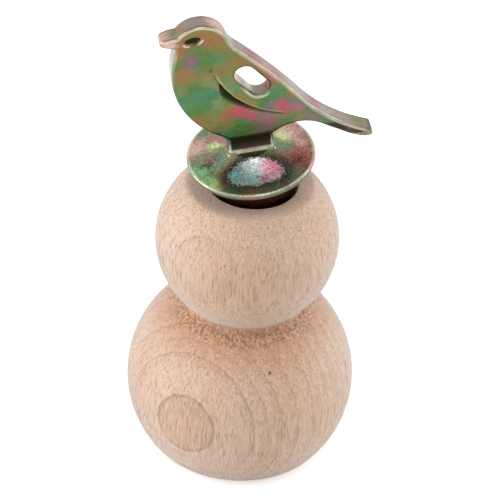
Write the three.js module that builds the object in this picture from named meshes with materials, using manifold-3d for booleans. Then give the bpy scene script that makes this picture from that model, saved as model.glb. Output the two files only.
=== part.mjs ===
// Twist-to-squeak bird call: a turned wooden body of two stacked balls, and a cast metal key
// whose tapered plug turns in the body's blind bore. The key has a bird-shaped thumb blade and
// sits loosely, so at rest it leans over until its plug lies along the bore wall.
// Frame: millimetres, +Z up, origin at the centre of the flat base. The beak points to -X.
import * as THREE from "three";
import { mergeVertices } from "three/addons/utils/BufferGeometryUtils.js";
import Module from "manifold-3d";

const wasm = await Module();
wasm.setup();

// Running clearance kept between pieces that touch on the real object.
const CLEARANCE = 0.3;

// Turned body.
const LOWER_BALL_RADIUS = 19;
const UPPER_BALL_RADIUS = 15;
const NECK_RADIUS = 9.33; // where the two balls would cross without the cove
const BASE_BELOW_CENTRE = 11.8; // the flat base lies this far under the lower ball's centre
const BASE_EDGE_ROUND = 0.8;
const NECK_COVE = 0.8; // radius of the cove that fills that crossing
const LAND_RADIUS = 10.4; // flat ring on top of the upper ball
const LAND_EDGE_ROUND = 0.5;

// Blind bore, drilled slightly off the turning axis, towards the tail.
const BORE_RADIUS = 7.2;
const BORE_DEPTH = 21;
const BORE_TIP_DEPTH = 2.2; // extra depth of the drill's cone
const BORE_OFF_CENTRE = 0.45;
const BORE_MOUTH_CHAMFER = 0.25;

// How the loose key leans at rest.
const KEY_LEAN = 9; // degrees from upright
const KEY_LEAN_HEADING = 219; // degrees from +X, anticlockwise seen from above

// Key: tapered plug and flange. Heights are measured along the key's axis from the bore's mouth.
const PLUG_LENGTH = 12;
const PLUG_NOSE_ROUND = 0.8;
const PLUG_TAPER = 10.4; // half angle of the collar, degrees
const COLLAR_DEPTH = 2.6; // full-size collar below the mouth
const FLANGE_RADIUS = 10.3;
const FLANGE_HEIGHT = 6.1; // the widest edge of the flange
const FLANGE_EDGE = 0.7; // thickness of that edge
const FLANGE_EDGE_ROUND = 0.4;
const FLANGE_RIM_RISE = 0.25; // the top face starts this far above the widest edge
const FLANGE_HUB_RADIUS = 3.4;
const FLANGE_HUB_RISE = 2.35;
const FLANGE_TOP_FLARE = 1.6; // powers of the hollow curves above and below the flange
const FLANGE_THROAT_DROP = 2.3; // the underside starts to flare this far under the widest edge
const FLANGE_UNDER_FLARE = 0.67;

// Powdered rosin packed round the plug under its collar, drawn as a thin cup.
const ROSIN_THICKNESS = 0.4;

// Key: blade. Its outline is drawn in the plane of the blade from the middle of the flange's
// widest edge: x towards the tail, y up the key's axis. Arcs run from one angle to another.
const BLADE_THICKNESS = 3.2;
const BLADE_EDGE_ROUND = 0.3;
const PEDESTAL_HALF_WIDTH = 3.65;
const PEDESTAL_TOP = 4.4;
const PEDESTAL_FOOT = 1.2;
const PEDESTAL_SCOOP_RADIUS = 3;
const PEDESTAL_SCOOP_DEPTH = 0.45;
const PEDESTAL_SCOOP_HEIGHT = 3.8;
const PEDESTAL_SCOOP_PAST = 0.25; // the scoop runs out this far past each corner
const HEAD = { x: -6.6, y: 23.93, r: 4.35, from: 16, to: 141 };
const NAPE = { x: -2.1, y: 24.1 }; // corner that the curve from back to head bends round
const BREAST = { x: 3.39, y: 18.37, r: 14.9, from: 160, to: 239 };
const BACK = { x: -66.12, y: -40.9, r: 91.05, from: 34.7, to: 44.7 }; // barely crowned
const RUMP = { x: 29.57, y: 25.76, r: 25.55, from: -114.3, to: -144.3 }; // hollow, to the tail
const VENT = { x: 7.78, y: 0.06, r: 6.35, from: 128, to: 59 }; // hollow behind the pedestal
const TAIL_TIP = { x: 18.95, y: 1.82, r: 0.65, from: -90, to: 80 };
const TAIL_UNDERSIDE = { x: 15.5, y: 2.45, bend: 17.5 }; // it flattens from x to the tip
const BEAK_TOP = { x: -11.4, y: 26.55 };
const BEAK_TIP = { x: -12.15, y: 25.75, r: 0.65, from: 75, to: 255 };
const BEAK_ROOT = { x: -10.45, y: 24.75 };
const CORD_SLOT = { x: 0.93, y: 16.05, r: 1.65, halfLength: 1.75, tilt: -53 };
const EYE = { x: -7.8, y: 25.9, halfLength: 1.35, halfHeight: 0.8, depth: 0.55 };
const WING_EDGE = { x: 9.09, y: 22.91, r: 14.6, from: -109, to: -156 }; // the folded wing
const FLANK = { x: 7.46, y: 24.34, r: 15.64, from: -149, to: -106 }; // under its hollow
const WING_STEP = 0.45; // depth of that hollow

const ROUND_SEGMENTS = 48;
const CURVE_SEGMENTS = 6;
const EDGE_SEGMENTS = 2;
const EYE_SEGMENTS = 16;
const ARC_STEP = 8; // degrees of a turned arc that one segment may span
const FLARE_STEPS = 5;
const CUTTER_OVERSHOOT = 1; // a cutting shape ends this far outside what it cuts
const WELD = 1e-3; // corners closer than this are one

const radians = THREE.MathUtils.degToRad;

// Points along an arc, from one angle to another in degrees.
function arc(x, y, radius, from, to) {
  const steps = Math.ceil(Math.abs(to - from) / ARC_STEP);
  const points = [];
  for (let i = 0; i <= steps; i += 1) {
    const angle = radians(from + ((to - from) * i) / steps);
    points.push(new THREE.Vector2(x + radius * Math.cos(angle), y + radius * Math.sin(angle)));
  }
  return points;
}

// Points of an edge rounded from one point to another under its sharp corner.
function roundedEdge(start, corner, end) {
  return new THREE.QuadraticBezierCurve(start, corner, end).getPoints(EDGE_SEGMENTS);
}

// Direction of a point seen from a circle's centre, and the point in a direction, in degrees.
const bearing = (circle, x, y) => THREE.MathUtils.radToDeg(Math.atan2(y - circle.y, x - circle.x));
const pointOn = (circle, angle) => [
  circle.x + circle.r * Math.cos(radians(angle)),
  circle.y + circle.r * Math.sin(radians(angle)),
];

// A profile of (radius, height) points turned about +Z.
function turned(profile) {
  return new THREE.LatheGeometry(profile, ROUND_SEGMENTS).rotateX(Math.PI / 2);
}

function solidFrom(geometry) {
  const bare = geometry.index ? geometry.toNonIndexed() : geometry.clone();
  bare.deleteAttribute("normal");
  bare.deleteAttribute("uv");
  const merged = mergeVertices(bare, WELD);
  return new wasm.Manifold(
    new wasm.Mesh({
      numProp: 3,
      vertProperties: merged.attributes.position.array,
      triVerts: new Uint32Array(merged.index.array),
    }),
  );
}

function geometryFrom(solid) {
  const mesh = solid.getMesh();
  const geometry = new THREE.BufferGeometry();
  geometry.setAttribute("position", new THREE.BufferAttribute(mesh.vertProperties, 3));
  geometry.setIndex(new THREE.BufferAttribute(mesh.triVerts, 1));
  geometry.computeVertexNormals();
  return geometry;
}

// Heights of the body's features above the base.
const lowerCentre = BASE_BELOW_CENTRE;
const upperCentre =
  lowerCentre +
  Math.sqrt(LOWER_BALL_RADIUS ** 2 - NECK_RADIUS ** 2) +
  Math.sqrt(UPPER_BALL_RADIUS ** 2 - NECK_RADIUS ** 2);
const landHeight = upperCentre + Math.sqrt(UPPER_BALL_RADIUS ** 2 - LAND_RADIUS ** 2);

// Centre of the circle that touches both balls from outside and shapes the neck.
function neckCircle() {
  const toLower = LOWER_BALL_RADIUS + NECK_COVE;
  const toUpper = UPPER_BALL_RADIUS + NECK_COVE;
  const spacing = upperCentre - lowerCentre;
  const rise = (spacing ** 2 + toLower ** 2 - toUpper ** 2) / (2 * spacing);
  return { x: Math.sqrt(toLower ** 2 - rise ** 2), y: lowerCentre + rise };
}

function turnedBody() {
  const neck = neckCircle();
  const lower = { x: 0, y: lowerCentre };
  const upper = { x: 0, y: upperCentre };
  const baseRadius = Math.sqrt(LOWER_BALL_RADIUS ** 2 - BASE_BELOW_CENTRE ** 2);
  const neckFromLower = bearing(lower, neck.x, neck.y);
  const neckFromUpper = bearing(upper, neck.x, neck.y);
  const edgeAngle = (round, radius) => THREE.MathUtils.radToDeg(round / radius);
  const baseAngle = bearing(lower, baseRadius, 0) + edgeAngle(BASE_EDGE_ROUND, LOWER_BALL_RADIUS);
  const landAngle =
    bearing(upper, LAND_RADIUS, landHeight) - edgeAngle(LAND_EDGE_ROUND, UPPER_BALL_RADIUS);
  const lowerBelt = [
    ...arc(0, lowerCentre, LOWER_BALL_RADIUS, baseAngle, 0),
    ...arc(0, lowerCentre, LOWER_BALL_RADIUS, 0, neckFromLower).slice(1),
  ];
  const cove = arc(neck.x, neck.y, NECK_COVE, neckFromLower + 180, neckFromUpper + 180);
  const upperBelt = arc(0, upperCentre, UPPER_BALL_RADIUS, neckFromUpper, landAngle);
  const baseRim = new THREE.Vector2(baseRadius - BASE_EDGE_ROUND, 0);
  const baseCorner = new THREE.Vector2(baseRadius, 0);
  const landCorner = new THREE.Vector2(LAND_RADIUS, landHeight);
  const landRim = new THREE.Vector2(LAND_RADIUS - LAND_EDGE_ROUND, landHeight);
  const outside = [
    new THREE.Vector2(0, 0),
    ...roundedEdge(baseRim, baseCorner, lowerBelt[0]),
    ...lowerBelt.slice(1),
    ...cove.slice(1, -1),
    ...upperBelt,
    ...roundedEdge(upperBelt.at(-1), landCorner, landRim).slice(1),
    new THREE.Vector2(0, landHeight),
  ];
  const boreProfile = [
    new THREE.Vector2(0, landHeight - BORE_DEPTH - BORE_TIP_DEPTH),
    new THREE.Vector2(BORE_RADIUS, landHeight - BORE_DEPTH),
    new THREE.Vector2(BORE_RADIUS, landHeight - BORE_MOUTH_CHAMFER),
    new THREE.Vector2(BORE_RADIUS + BORE_MOUTH_CHAMFER, landHeight),
    new THREE.Vector2(BORE_RADIUS + BORE_MOUTH_CHAMFER, landHeight + CUTTER_OVERSHOOT),
    new THREE.Vector2(0, landHeight + CUTTER_OVERSHOOT),
  ];
  const bore = solidFrom(turned(boreProfile).translate(BORE_OFF_CENTRE, 0, 0));
  return geometryFrom(solidFrom(turned(outside)).subtract(bore));
}

// What leans in the bore stays one clearance off its wall. Under the mouth that is the side
// away from the lean, and at the mouth it is the side that the collar dips on.
const leanSine = Math.sin(radians(KEY_LEAN));
const leanCosine = Math.cos(radians(KEY_LEAN));
const reach = BORE_RADIUS - CLEARANCE;
const rosinOuter = (depth) => (reach - depth * leanSine) / leanCosine;
const rosinInner = (depth) => rosinOuter(depth) - ROSIN_THICKNESS;
const plugRadius = (depth) => rosinInner(depth) - CLEARANCE;
const collarRadius = (height) =>
  reach * leanCosine + (height - reach * leanSine) * Math.tan(radians(PLUG_TAPER));
const rosinTop = COLLAR_DEPTH + 2 * CLEARANCE;

function rosinCoat() {
  const inside = PLUG_LENGTH + CLEARANCE;
  const bottom = inside + ROSIN_THICKNESS;
  return turned([
    new THREE.Vector2(0, -bottom),
    new THREE.Vector2(rosinOuter(bottom) - PLUG_NOSE_ROUND, -bottom),
    new THREE.Vector2(rosinOuter(inside), -inside + PLUG_NOSE_ROUND / 2),
    new THREE.Vector2(rosinOuter(rosinTop), -rosinTop),
    new THREE.Vector2(rosinInner(rosinTop), -rosinTop),
    new THREE.Vector2(rosinInner(inside), -inside + PLUG_NOSE_ROUND / 2),
    new THREE.Vector2(rosinInner(inside) - PLUG_NOSE_ROUND, -inside),
    new THREE.Vector2(0, -inside),
  ]);
}

// A hollow curve between two points, pulled towards the height of the first by a power.
function flare(start, end, power) {
  const points = [];
  for (let i = 1; i < FLARE_STEPS; i += 1) {
    const along = i / FLARE_STEPS;
    const radius = start.x + (end.x - start.x) * along;
    points.push(new THREE.Vector2(radius, start.y + (end.y - start.y) * along ** power));
  }
  return points;
}

// Plug, collar and trumpet-shaped flange, turned as one about the key's axis.
function plugAndFlange() {
  const noseRadius = plugRadius(PLUG_LENGTH);
  const throatHeight = FLANGE_HEIGHT - FLANGE_THROAT_DROP;
  const edgeRadius = FLANGE_RADIUS - FLANGE_EDGE_ROUND;
  const throat = new THREE.Vector2(collarRadius(throatHeight), throatHeight);
  const underEdge = new THREE.Vector2(edgeRadius, FLANGE_HEIGHT - FLANGE_EDGE);
  const topEdge = new THREE.Vector2(edgeRadius, FLANGE_HEIGHT + FLANGE_RIM_RISE);
  const hub = new THREE.Vector2(FLANGE_HUB_RADIUS, FLANGE_HEIGHT + FLANGE_HUB_RISE);
  return turned([
    new THREE.Vector2(0, -PLUG_LENGTH),
    new THREE.Vector2(noseRadius - PLUG_NOSE_ROUND, -PLUG_LENGTH),
    new THREE.Vector2(noseRadius, -PLUG_LENGTH + PLUG_NOSE_ROUND),
    new THREE.Vector2(plugRadius(rosinTop), -rosinTop),
    new THREE.Vector2(plugRadius(rosinTop), -COLLAR_DEPTH - CLEARANCE),
    new THREE.Vector2(collarRadius(-COLLAR_DEPTH), -COLLAR_DEPTH),
    throat,
    ...flare(throat, underEdge, FLANGE_UNDER_FLARE),
    underEdge,
    new THREE.Vector2(FLANGE_RADIUS, FLANGE_HEIGHT - FLANGE_EDGE / 2),
    new THREE.Vector2(FLANGE_RADIUS, FLANGE_HEIGHT),
    topEdge,
    ...flare(topEdge, hub, FLANGE_TOP_FLARE),
    hub,
    new THREE.Vector2(0, FLANGE_HEIGHT + FLANGE_HUB_RISE),
  ]);
}

// Adds a circle's named arc to a path.
function sweep(path, circle, clockwise) {
  path.absarc(circle.x, circle.y, circle.r, radians(circle.from), radians(circle.to), clockwise);
}

// The bird in profile, beak to the left, drawn anticlockwise from the pedestal's right foot.
function birdOutline() {
  const bird = new THREE.Shape();
  bird.moveTo(PEDESTAL_HALF_WIDTH, PEDESTAL_FOOT);
  bird.lineTo(PEDESTAL_HALF_WIDTH, PEDESTAL_TOP);
  sweep(bird, VENT, true);
  bird.lineTo(TAIL_UNDERSIDE.x, TAIL_UNDERSIDE.y);
  const tailBottom = TAIL_TIP.y - TAIL_TIP.r;
  bird.quadraticCurveTo(TAIL_UNDERSIDE.bend, tailBottom, TAIL_TIP.x, tailBottom);
  sweep(bird, TAIL_TIP, false);
  sweep(bird, RUMP, true);
  sweep(bird, BACK, false);
  bird.quadraticCurveTo(NAPE.x, NAPE.y, ...pointOn(HEAD, HEAD.from));
  sweep(bird, HEAD, false);
  bird.lineTo(BEAK_TOP.x, BEAK_TOP.y);
  sweep(bird, BEAK_TIP, false);
  bird.lineTo(BEAK_ROOT.x, BEAK_ROOT.y);
  sweep(bird, BREAST, false);
  bird.lineTo(-PEDESTAL_HALF_WIDTH, PEDESTAL_TOP);
  bird.lineTo(-PEDESTAL_HALF_WIDTH, PEDESTAL_FOOT);
  bird.closePath();
  return bird;
}

// A straight slot with round ends, for a neck cord.
function cordSlot() {
  const tilt = radians(CORD_SLOT.tilt);
  const reachX = CORD_SLOT.halfLength * Math.cos(tilt);
  const reachY = CORD_SLOT.halfLength * Math.sin(tilt);
  const { x, y, r } = CORD_SLOT;
  const slot = new THREE.Path();
  slot.absarc(x + reachX, y + reachY, r, tilt - Math.PI / 2, tilt + Math.PI / 2, false);
  slot.absarc(x - reachX, y - reachY, r, tilt + Math.PI / 2, tilt + 1.5 * Math.PI, false);
  slot.closePath();
  return slot;
}

// An outline drawn in the blade's plane, extruded evenly to both sides of that plane.
function plate(shape, thickness, round) {
  const geometry = new THREE.ExtrudeGeometry(shape, {
    depth: thickness - 2 * round,
    bevelEnabled: round > 0,
    bevelThickness: round,
    bevelSize: round,
    bevelOffset: -round,
    bevelSegments: EDGE_SEGMENTS,
    curveSegments: CURVE_SEGMENTS,
  });
  geometry.translate(0, 0, round - thickness / 2);
  geometry.rotateX(Math.PI / 2);
  return geometry.translate(0, 0, FLANGE_HEIGHT);
}

// Hollow under the wing: a crescent between the wing's edge and the flank.
function wingHollow() {
  const hollow = new THREE.Shape();
  sweep(hollow, FLANK, false);
  sweep(hollow, WING_EDGE, true);
  hollow.closePath();
  return hollow;
}

function birdKey() {
  const outline = birdOutline();
  outline.holes.push(cordSlot());
  let key = solidFrom(plate(outline, BLADE_THICKNESS, BLADE_EDGE_ROUND));
  const face = BLADE_THICKNESS / 2;
  const scoopAway = face + PEDESTAL_SCOOP_RADIUS - PEDESTAL_SCOOP_DEPTH;
  const scoopRun = 2 * (PEDESTAL_HALF_WIDTH + PEDESTAL_SCOOP_PAST);
  const radius = PEDESTAL_SCOOP_RADIUS;
  for (const side of [-1, 1]) {
    const scoop = new THREE.CylinderGeometry(radius, radius, scoopRun, ROUND_SEGMENTS);
    scoop.rotateZ(Math.PI / 2);
    scoop.translate(0, side * scoopAway, FLANGE_HEIGHT + PEDESTAL_SCOOP_HEIGHT);
    key = key.subtract(solidFrom(scoop));
    const eye = new THREE.SphereGeometry(1, EYE_SEGMENTS, EYE_SEGMENTS);
    eye.scale(EYE.halfLength, EYE.depth, EYE.halfHeight);
    eye.translate(EYE.x, side * face, FLANGE_HEIGHT + EYE.y);
    key = key.subtract(solidFrom(eye));
    const hollow = plate(wingHollow(), 2 * WING_STEP, 0).translate(0, side * face, 0);
    key = key.subtract(solidFrom(hollow));
  }
  return geometryFrom(key.add(solidFrom(plugAndFlange())));
}

function named(name, geometry, look) {
  const mesh = new THREE.Mesh(geometry, new THREE.MeshStandardMaterial(look));
  mesh.name = name;
  return mesh;
}

const beech = { color: 0xdfc3ab, roughness: 0.62, metalness: 0 };
const chromatedZinc = { color: 0x6f7a58, roughness: 0.3, metalness: 0.9 };
const rosin = { color: 0xd9b65c, roughness: 0.8, metalness: 0 };

// The key and its rosin tilt together about the middle of the bore's mouth.
const leaning = new THREE.Group();
const heading = radians(KEY_LEAN_HEADING);
const tiltAxis = new THREE.Vector3(-Math.sin(heading), Math.cos(heading), 0);
leaning.quaternion.setFromAxisAngle(tiltAxis, radians(KEY_LEAN));
leaning.position.set(BORE_OFF_CENTRE, 0, landHeight);
leaning.add(named("rosin_coat", rosinCoat(), rosin));
leaning.add(named("bird_key", birdKey(), chromatedZinc));

const call = new THREE.Group();
call.add(named("turned_body", turnedBody(), beech));
call.add(leaning);

export default call;
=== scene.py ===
import math

import bmesh
import bpy
import numpy as np
from bpy.props import FloatProperty, FloatVectorProperty, IntProperty, PointerProperty
from mathutils import Matrix, Vector


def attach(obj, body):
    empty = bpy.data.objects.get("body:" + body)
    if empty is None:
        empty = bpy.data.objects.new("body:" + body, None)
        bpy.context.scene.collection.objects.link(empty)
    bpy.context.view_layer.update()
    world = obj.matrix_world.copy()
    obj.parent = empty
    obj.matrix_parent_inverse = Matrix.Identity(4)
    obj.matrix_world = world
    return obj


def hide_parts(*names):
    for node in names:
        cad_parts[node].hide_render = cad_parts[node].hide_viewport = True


bl_info = {
    "name": "Twist Bird Call",
    "version": (1, 0, 0),
    "blender": (4, 5, 0),
    "location": "3D View > Sidebar > Bird Call",
    "description": "Turned wooden body, cast bird key and rosin coat of a twist-to-squeak bird call",
    "category": "Object",
}

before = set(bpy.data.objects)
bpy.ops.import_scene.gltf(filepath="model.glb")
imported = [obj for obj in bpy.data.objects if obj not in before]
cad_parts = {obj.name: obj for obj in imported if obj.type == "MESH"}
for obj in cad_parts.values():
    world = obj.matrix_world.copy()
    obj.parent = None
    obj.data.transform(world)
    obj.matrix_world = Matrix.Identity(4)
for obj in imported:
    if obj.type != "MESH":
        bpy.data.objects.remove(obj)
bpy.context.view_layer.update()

# Sizes are in millimetres unless a name says otherwise, and MM turns them into metres.
MM = 0.001
TINY = 1e-6

# Turned body.
LOWER_BALL_RADIUS = 19.0
UPPER_BALL_RADIUS = 15.0
NECK_CROSSING_RADIUS = 9.33
LOWER_CENTRE = 11.8
BASE_EDGE_ROUND = 0.8
NECK_COVE = 0.8
LAND_RADIUS = 10.4
LAND_EDGE_ROUND = 0.5
BORE_RADIUS = 7.2
BORE_DEPTH = 21.0
BORE_TIP_DEPTH = 2.2
BORE_OFF_CENTRE = 0.45
BORE_MOUTH_CHAMFER = 0.25
# The profile is kept this far off the axis until it is turned.
REEL_RADIUS = 10.0
UPPER_CENTRE = (
    LOWER_CENTRE
    + math.sqrt(LOWER_BALL_RADIUS**2 - NECK_CROSSING_RADIUS**2)
    + math.sqrt(UPPER_BALL_RADIUS**2 - NECK_CROSSING_RADIUS**2)
)
LAND_HEIGHT = UPPER_CENTRE + math.sqrt(UPPER_BALL_RADIUS**2 - LAND_RADIUS**2)

# The key leans in the bore. Its own frame has its origin in the middle of the bore's mouth,
# +Z up its axis, -X towards the beak and -Y towards the front face of the blade.
KEY_LEAN = 9.0
KEY_LEAN_HEADING = 219.0
CLEARANCE = 0.3
PLUG_LENGTH = 12.0
PLUG_NOSE_ROUND = 0.8
PLUG_TAPER = 10.4
COLLAR_DEPTH = 2.6
ROSIN_THICKNESS = 0.4
FLANGE_RADIUS = 10.3
FLANGE_HEIGHT = 6.1
FLANGE_EDGE = 0.7
FLANGE_THROAT_DROP = 2.3
FLANGE_RIM_RISE = 0.25
FLANGE_HUB_RADIUS = 3.1
FLANGE_HUB_RISE = 2.1
FLANGE_TOP_FLARE = 1.7
FLANGE_UNDER_FLARE = 0.67

# Blade outline: x towards the tail, y up the key's axis from the flange's widest edge.
# Arcs are (x, y, radius, from angle, to angle).
PEDESTAL_HALF_WIDTH = 3.65
PEDESTAL_TOP = 4.4
PEDESTAL_FOOT = 1.0
PEDESTAL_SCOOP_RADIUS = 3.0
PEDESTAL_SCOOP_DEPTH = 0.5
PEDESTAL_SCOOP_HEIGHT = 3.8
VENT = (7.78, 0.06, 6.35, 128, 59)
TAIL_UNDERSIDE = (15.5, 2.45)
TAIL_BEND = (17.5, 1.17)
TAIL_TIP = (18.95, 1.82, 0.65, -90, 80)
RUMP = (29.57, 25.76, 25.55, -114.3, -144.3)
BACK = (-66.12, -40.9, 91.05, 34.7, 44.7)
NAPE = (-2.1, 24.1)
HEAD = (-6.6, 23.93, 4.35, 16, 141)
BEAK_TOP = (-11.4, 26.55)
BEAK_TIP = (-12.15, 25.75, 0.65, 75, 255)
BEAK_ROOT = (-10.45, 24.75)
BREAST = (3.39, 18.37, 14.9, 160, 239)
CORD_SLOT = (0.93, 16.05)
CORD_SLOT_RADIUS = 1.65
CORD_SLOT_HALF_LENGTH = 1.75
CORD_SLOT_TILT = -53
EYE = (-7.75, 25.75)
EYE_TILT = 8.0
EYE_HALF_LENGTH = 1.4
EYE_HALF_HEIGHT = 0.75
EYE_DEPTH = 0.6
DIMPLE = (-5.4, 19.5)
DIMPLE_RADIUS = 0.45
DIMPLE_DEPTH = 0.16
SLOT_FLARE_DEPTH = 0.14
# The painted highlight lines: how far inside the outline they run, and the height of the pedestal's.
RIM_LINE_INSET = 0.26
FOOT_LINE_HEIGHT = 2.4
WING_EDGE = (9.09, 22.91, 14.6)
FLANK = (7.46, 24.34, 15.64)
WING_HOLLOW_WIDTH = 1.45
WING_TIP_ANGLE = -161
WING_FULL_ANGLE = -143
BEAK_TAPER_START = -10.9
BEAK_TAPER_LENGTH = 1.95
BEAK_TIP_SHARE = 0.5

# How far the leaning key may reach from the bore's axis.
LEAN_REACH = BORE_RADIUS - CLEARANCE
ROSIN_TOP = COLLAR_DEPTH + 2 * CLEARANCE

lean_sine = math.sin(math.radians(KEY_LEAN))
lean_cosine = math.cos(math.radians(KEY_LEAN))
heading = math.radians(KEY_LEAN_HEADING)
KEY_TURN = Matrix.Rotation(
    math.radians(KEY_LEAN), 4, Vector((-math.sin(heading), math.cos(heading), 0))
)
KEY_FRAME = (
    Matrix.Translation(Vector((BORE_OFF_CENTRE, 0, LAND_HEIGHT)) * MM)
    @ KEY_TURN
    @ Matrix.Scale(MM, 4)
)

# Growth rings lie across this direction.
RING_NORMAL = (-0.6232, -0.7696, 0.1392)
# The rings lean a little in the lower ball, and this keeps them in step there.
LOWER_RING_NORMAL = (-0.638, -0.766, 0.079)
LOWER_RING_OFFSET = 0.71
# Where each growth ring ends along that direction, and how dark its line is.
RINGS = (
    (19.85, 1.0),
    (16.75, 0.8),
    (15.3, 0.6),
    (13.5, 0.85),
    (11.0, 0.7),
    (8.1, 0.85),
    (6.4, 0.7),
    (4.7, 0.85),
    (2.8, 0.7),
    (1.9, 0.6),
    (-0.3, 0.7),
    (-2.4, 0.8),
    (-4.1, 0.6),
    (-6.6, 0.8),
    (-8.9, 0.6),
    (-10.8, 0.8),
    (-13.1, 0.7),
    (-15.6, 0.8),
    (-17.4, 0.6),
)
# The torn end grain beside the neck: where it is and how fine its furrows are.
NECK_HEIGHT = 27.4
TORN_SCALE = (2.4, 2.4, 0.25)
FLECK_PLACE = (1.88, -14.96, 23.36)


# Small helpers.


def linear(red, green, blue):
    """A colour written as on a paint chart, 0 to 255, as Blender's linear colour."""
    channels = [c / 255 for c in (red, green, blue)]
    return tuple(
        c / 12.92 if c <= 0.04045 else ((c + 0.055) / 1.055) ** 2.4 for c in channels
    )


def with_alpha(colour):
    return (*tuple(colour)[:3], 1.0)


def add_node(tree, kind, inputs=None, **settings):
    """Adds a node, and links or sets its inputs by name or number."""
    made = tree.nodes.new(kind)
    for name, value in settings.items():
        setattr(made, name, value)
    for key, value in (inputs or {}).items():
        if isinstance(value, bpy.types.NodeSocket):
            tree.links.new(value, made.inputs[key])
        else:
            made.inputs[key].default_value = value
    return made


def calc(tree, operation, *values, clamp=False):
    inputs = dict(enumerate(values))
    made = add_node(tree, "ShaderNodeMath", inputs, operation=operation, use_clamp=clamp)
    return made.outputs[0]


def vector_calc(tree, operation, *values):
    made = add_node(tree, "ShaderNodeVectorMath", dict(enumerate(values)), operation=operation)
    out = "Value" if operation in {"DOT_PRODUCT", "LENGTH", "DISTANCE"} else "Vector"
    return made.outputs[out]


def remap(tree, value, low, high, to_low=0.0, to_high=1.0, smooth=True):
    made = add_node(
        tree,
        "ShaderNodeMapRange",
        {"Value": value, "From Min": low, "From Max": high, "To Min": to_low, "To Max": to_high},
        interpolation_type="SMOOTHSTEP" if smooth else "LINEAR",
    )
    return made.outputs["Result"]


def scaled(tree, vector, scale):
    return vector_calc(tree, "MULTIPLY", vector, scale)


def noise_of(tree, vector, scale=1.0, detail=2.0, roughness=0.5, out="Fac"):
    inputs = {"Vector": vector, "Scale": scale, "Detail": detail, "Roughness": roughness}
    return add_node(tree, "ShaderNodeTexNoise", inputs).outputs[out]


def mix_colour(tree, factor, first, second, blend="MIX"):
    made = add_node(tree, "ShaderNodeMix", data_type="RGBA", blend_type=blend, clamp_factor=True)
    for index, value in ((0, factor), (6, first), (7, second)):
        if isinstance(value, bpy.types.NodeSocket):
            tree.links.new(value, made.inputs[index])
        elif index == 0:
            made.inputs[0].default_value = value
        else:
            made.inputs[index].default_value = with_alpha(value)
    return made.outputs[2]


def ramp(tree, factor, stops):
    """Colour ramp of (position, colour) stops."""
    made = add_node(tree, "ShaderNodeValToRGB", {0: factor})
    elements = made.color_ramp.elements
    while len(elements) < len(stops):
        elements.new(1.0)
    for element, (position, colour) in zip(elements, stops):
        element.position = position
        element.color = with_alpha(colour)
    return made.outputs["Color"]


def new_material(name):
    material = bpy.data.materials.new(name)
    material.use_nodes = True
    tree = material.node_tree
    return material, tree, tree.nodes["Principled BSDF"]


def add_object(name, mesh, material=None):
    made = bpy.data.objects.new(name, mesh)
    bpy.context.scene.collection.objects.link(made)
    if material:
        mesh.materials.clear()
        mesh.materials.append(material)
    return made


def evaluated_mesh(source):
    """The source object's mesh with its modifiers applied."""
    depsgraph = bpy.context.evaluated_depsgraph_get()
    depsgraph.update()
    return bpy.data.meshes.new_from_object(
        source.evaluated_get(depsgraph), depsgraph=depsgraph
    )


def discard(thing):
    data = thing.data
    bpy.data.objects.remove(thing)
    if isinstance(data, bpy.types.Mesh):
        bpy.data.meshes.remove(data)
    else:
        bpy.data.curves.remove(data)


def arc(circle, step):
    """Points along (x, y, radius, from, to) no further apart than step."""
    x, y, radius, start, end = circle
    count = max(2, math.ceil(abs(math.radians(end - start)) * radius / step))
    angles = np.radians(np.linspace(start, end, count + 1))
    return [(x + radius * math.cos(a), y + radius * math.sin(a)) for a in angles]


def line(start, end, step):
    """Points from start to end, without the first one."""
    count = max(1, math.ceil(math.dist(start, end) / step))
    return [
        tuple(np.array(start) + (np.array(end) - np.array(start)) * i / count)
        for i in range(1, count + 1)
    ]


def bend(start, corner, end, count=8):
    """Points of a parabola that leaves start towards corner and arrives at end."""
    points = []
    for i in range(1, count + 1):
        t = i / count
        points.append(
            tuple(
                (1 - t) ** 2 * np.array(start)
                + 2 * t * (1 - t) * np.array(corner)
                + t**2 * np.array(end)
            )
        )
    return points


def bearing(x0, y0, x, y):
    return math.degrees(math.atan2(y - y0, x - x0))


def place_points(mesh, points):
    mesh.vertices.foreach_set("co", np.asarray(points, np.float32).ravel())
    mesh.update()


def points_of(mesh):
    points = np.empty(len(mesh.vertices) * 3, np.float32)
    mesh.vertices.foreach_get("co", points)
    return points.reshape(-1, 3).astype(float)


def smoothstep(low, high, value):
    t = np.clip((value - low) / (high - low), 0, 1)
    return t * t * (3 - 2 * t)


def narrow_line(value, centre, width):
    """1 where value is at the centre, fading to nothing about two widths off."""
    return np.exp(-(((value - centre) / width) ** 2))


def turned_mesh(name, profile, facets):
    """A closed shell turned about Z from (radius, height) points that start and end at radius 0."""
    shell = bmesh.new()
    rings = []
    for radius, height in profile:
        if radius < TINY:
            rings.append([shell.verts.new((0, 0, height))])
            continue
        angles = [2 * math.pi * i / facets for i in range(facets)]
        rings.append(
            [shell.verts.new((radius * math.cos(a), radius * math.sin(a), height)) for a in angles]
        )
    for lower, upper in zip(rings, rings[1:]):
        for i in range(facets):
            j = (i + 1) % facets
            if len(lower) == 1 and len(upper) == 1:
                continue
            if len(lower) == 1:
                shell.faces.new((lower[0], upper[j], upper[i]))
            elif len(upper) == 1:
                shell.faces.new((lower[i], lower[j], upper[0]))
            else:
                shell.faces.new((lower[i], lower[j], upper[j], upper[i]))
    bmesh.ops.recalc_face_normals(shell, faces=shell.faces)
    mesh = bpy.data.meshes.new(name)
    shell.to_mesh(mesh)
    shell.free()
    return mesh


# Sizes and colours that can be changed.


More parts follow.
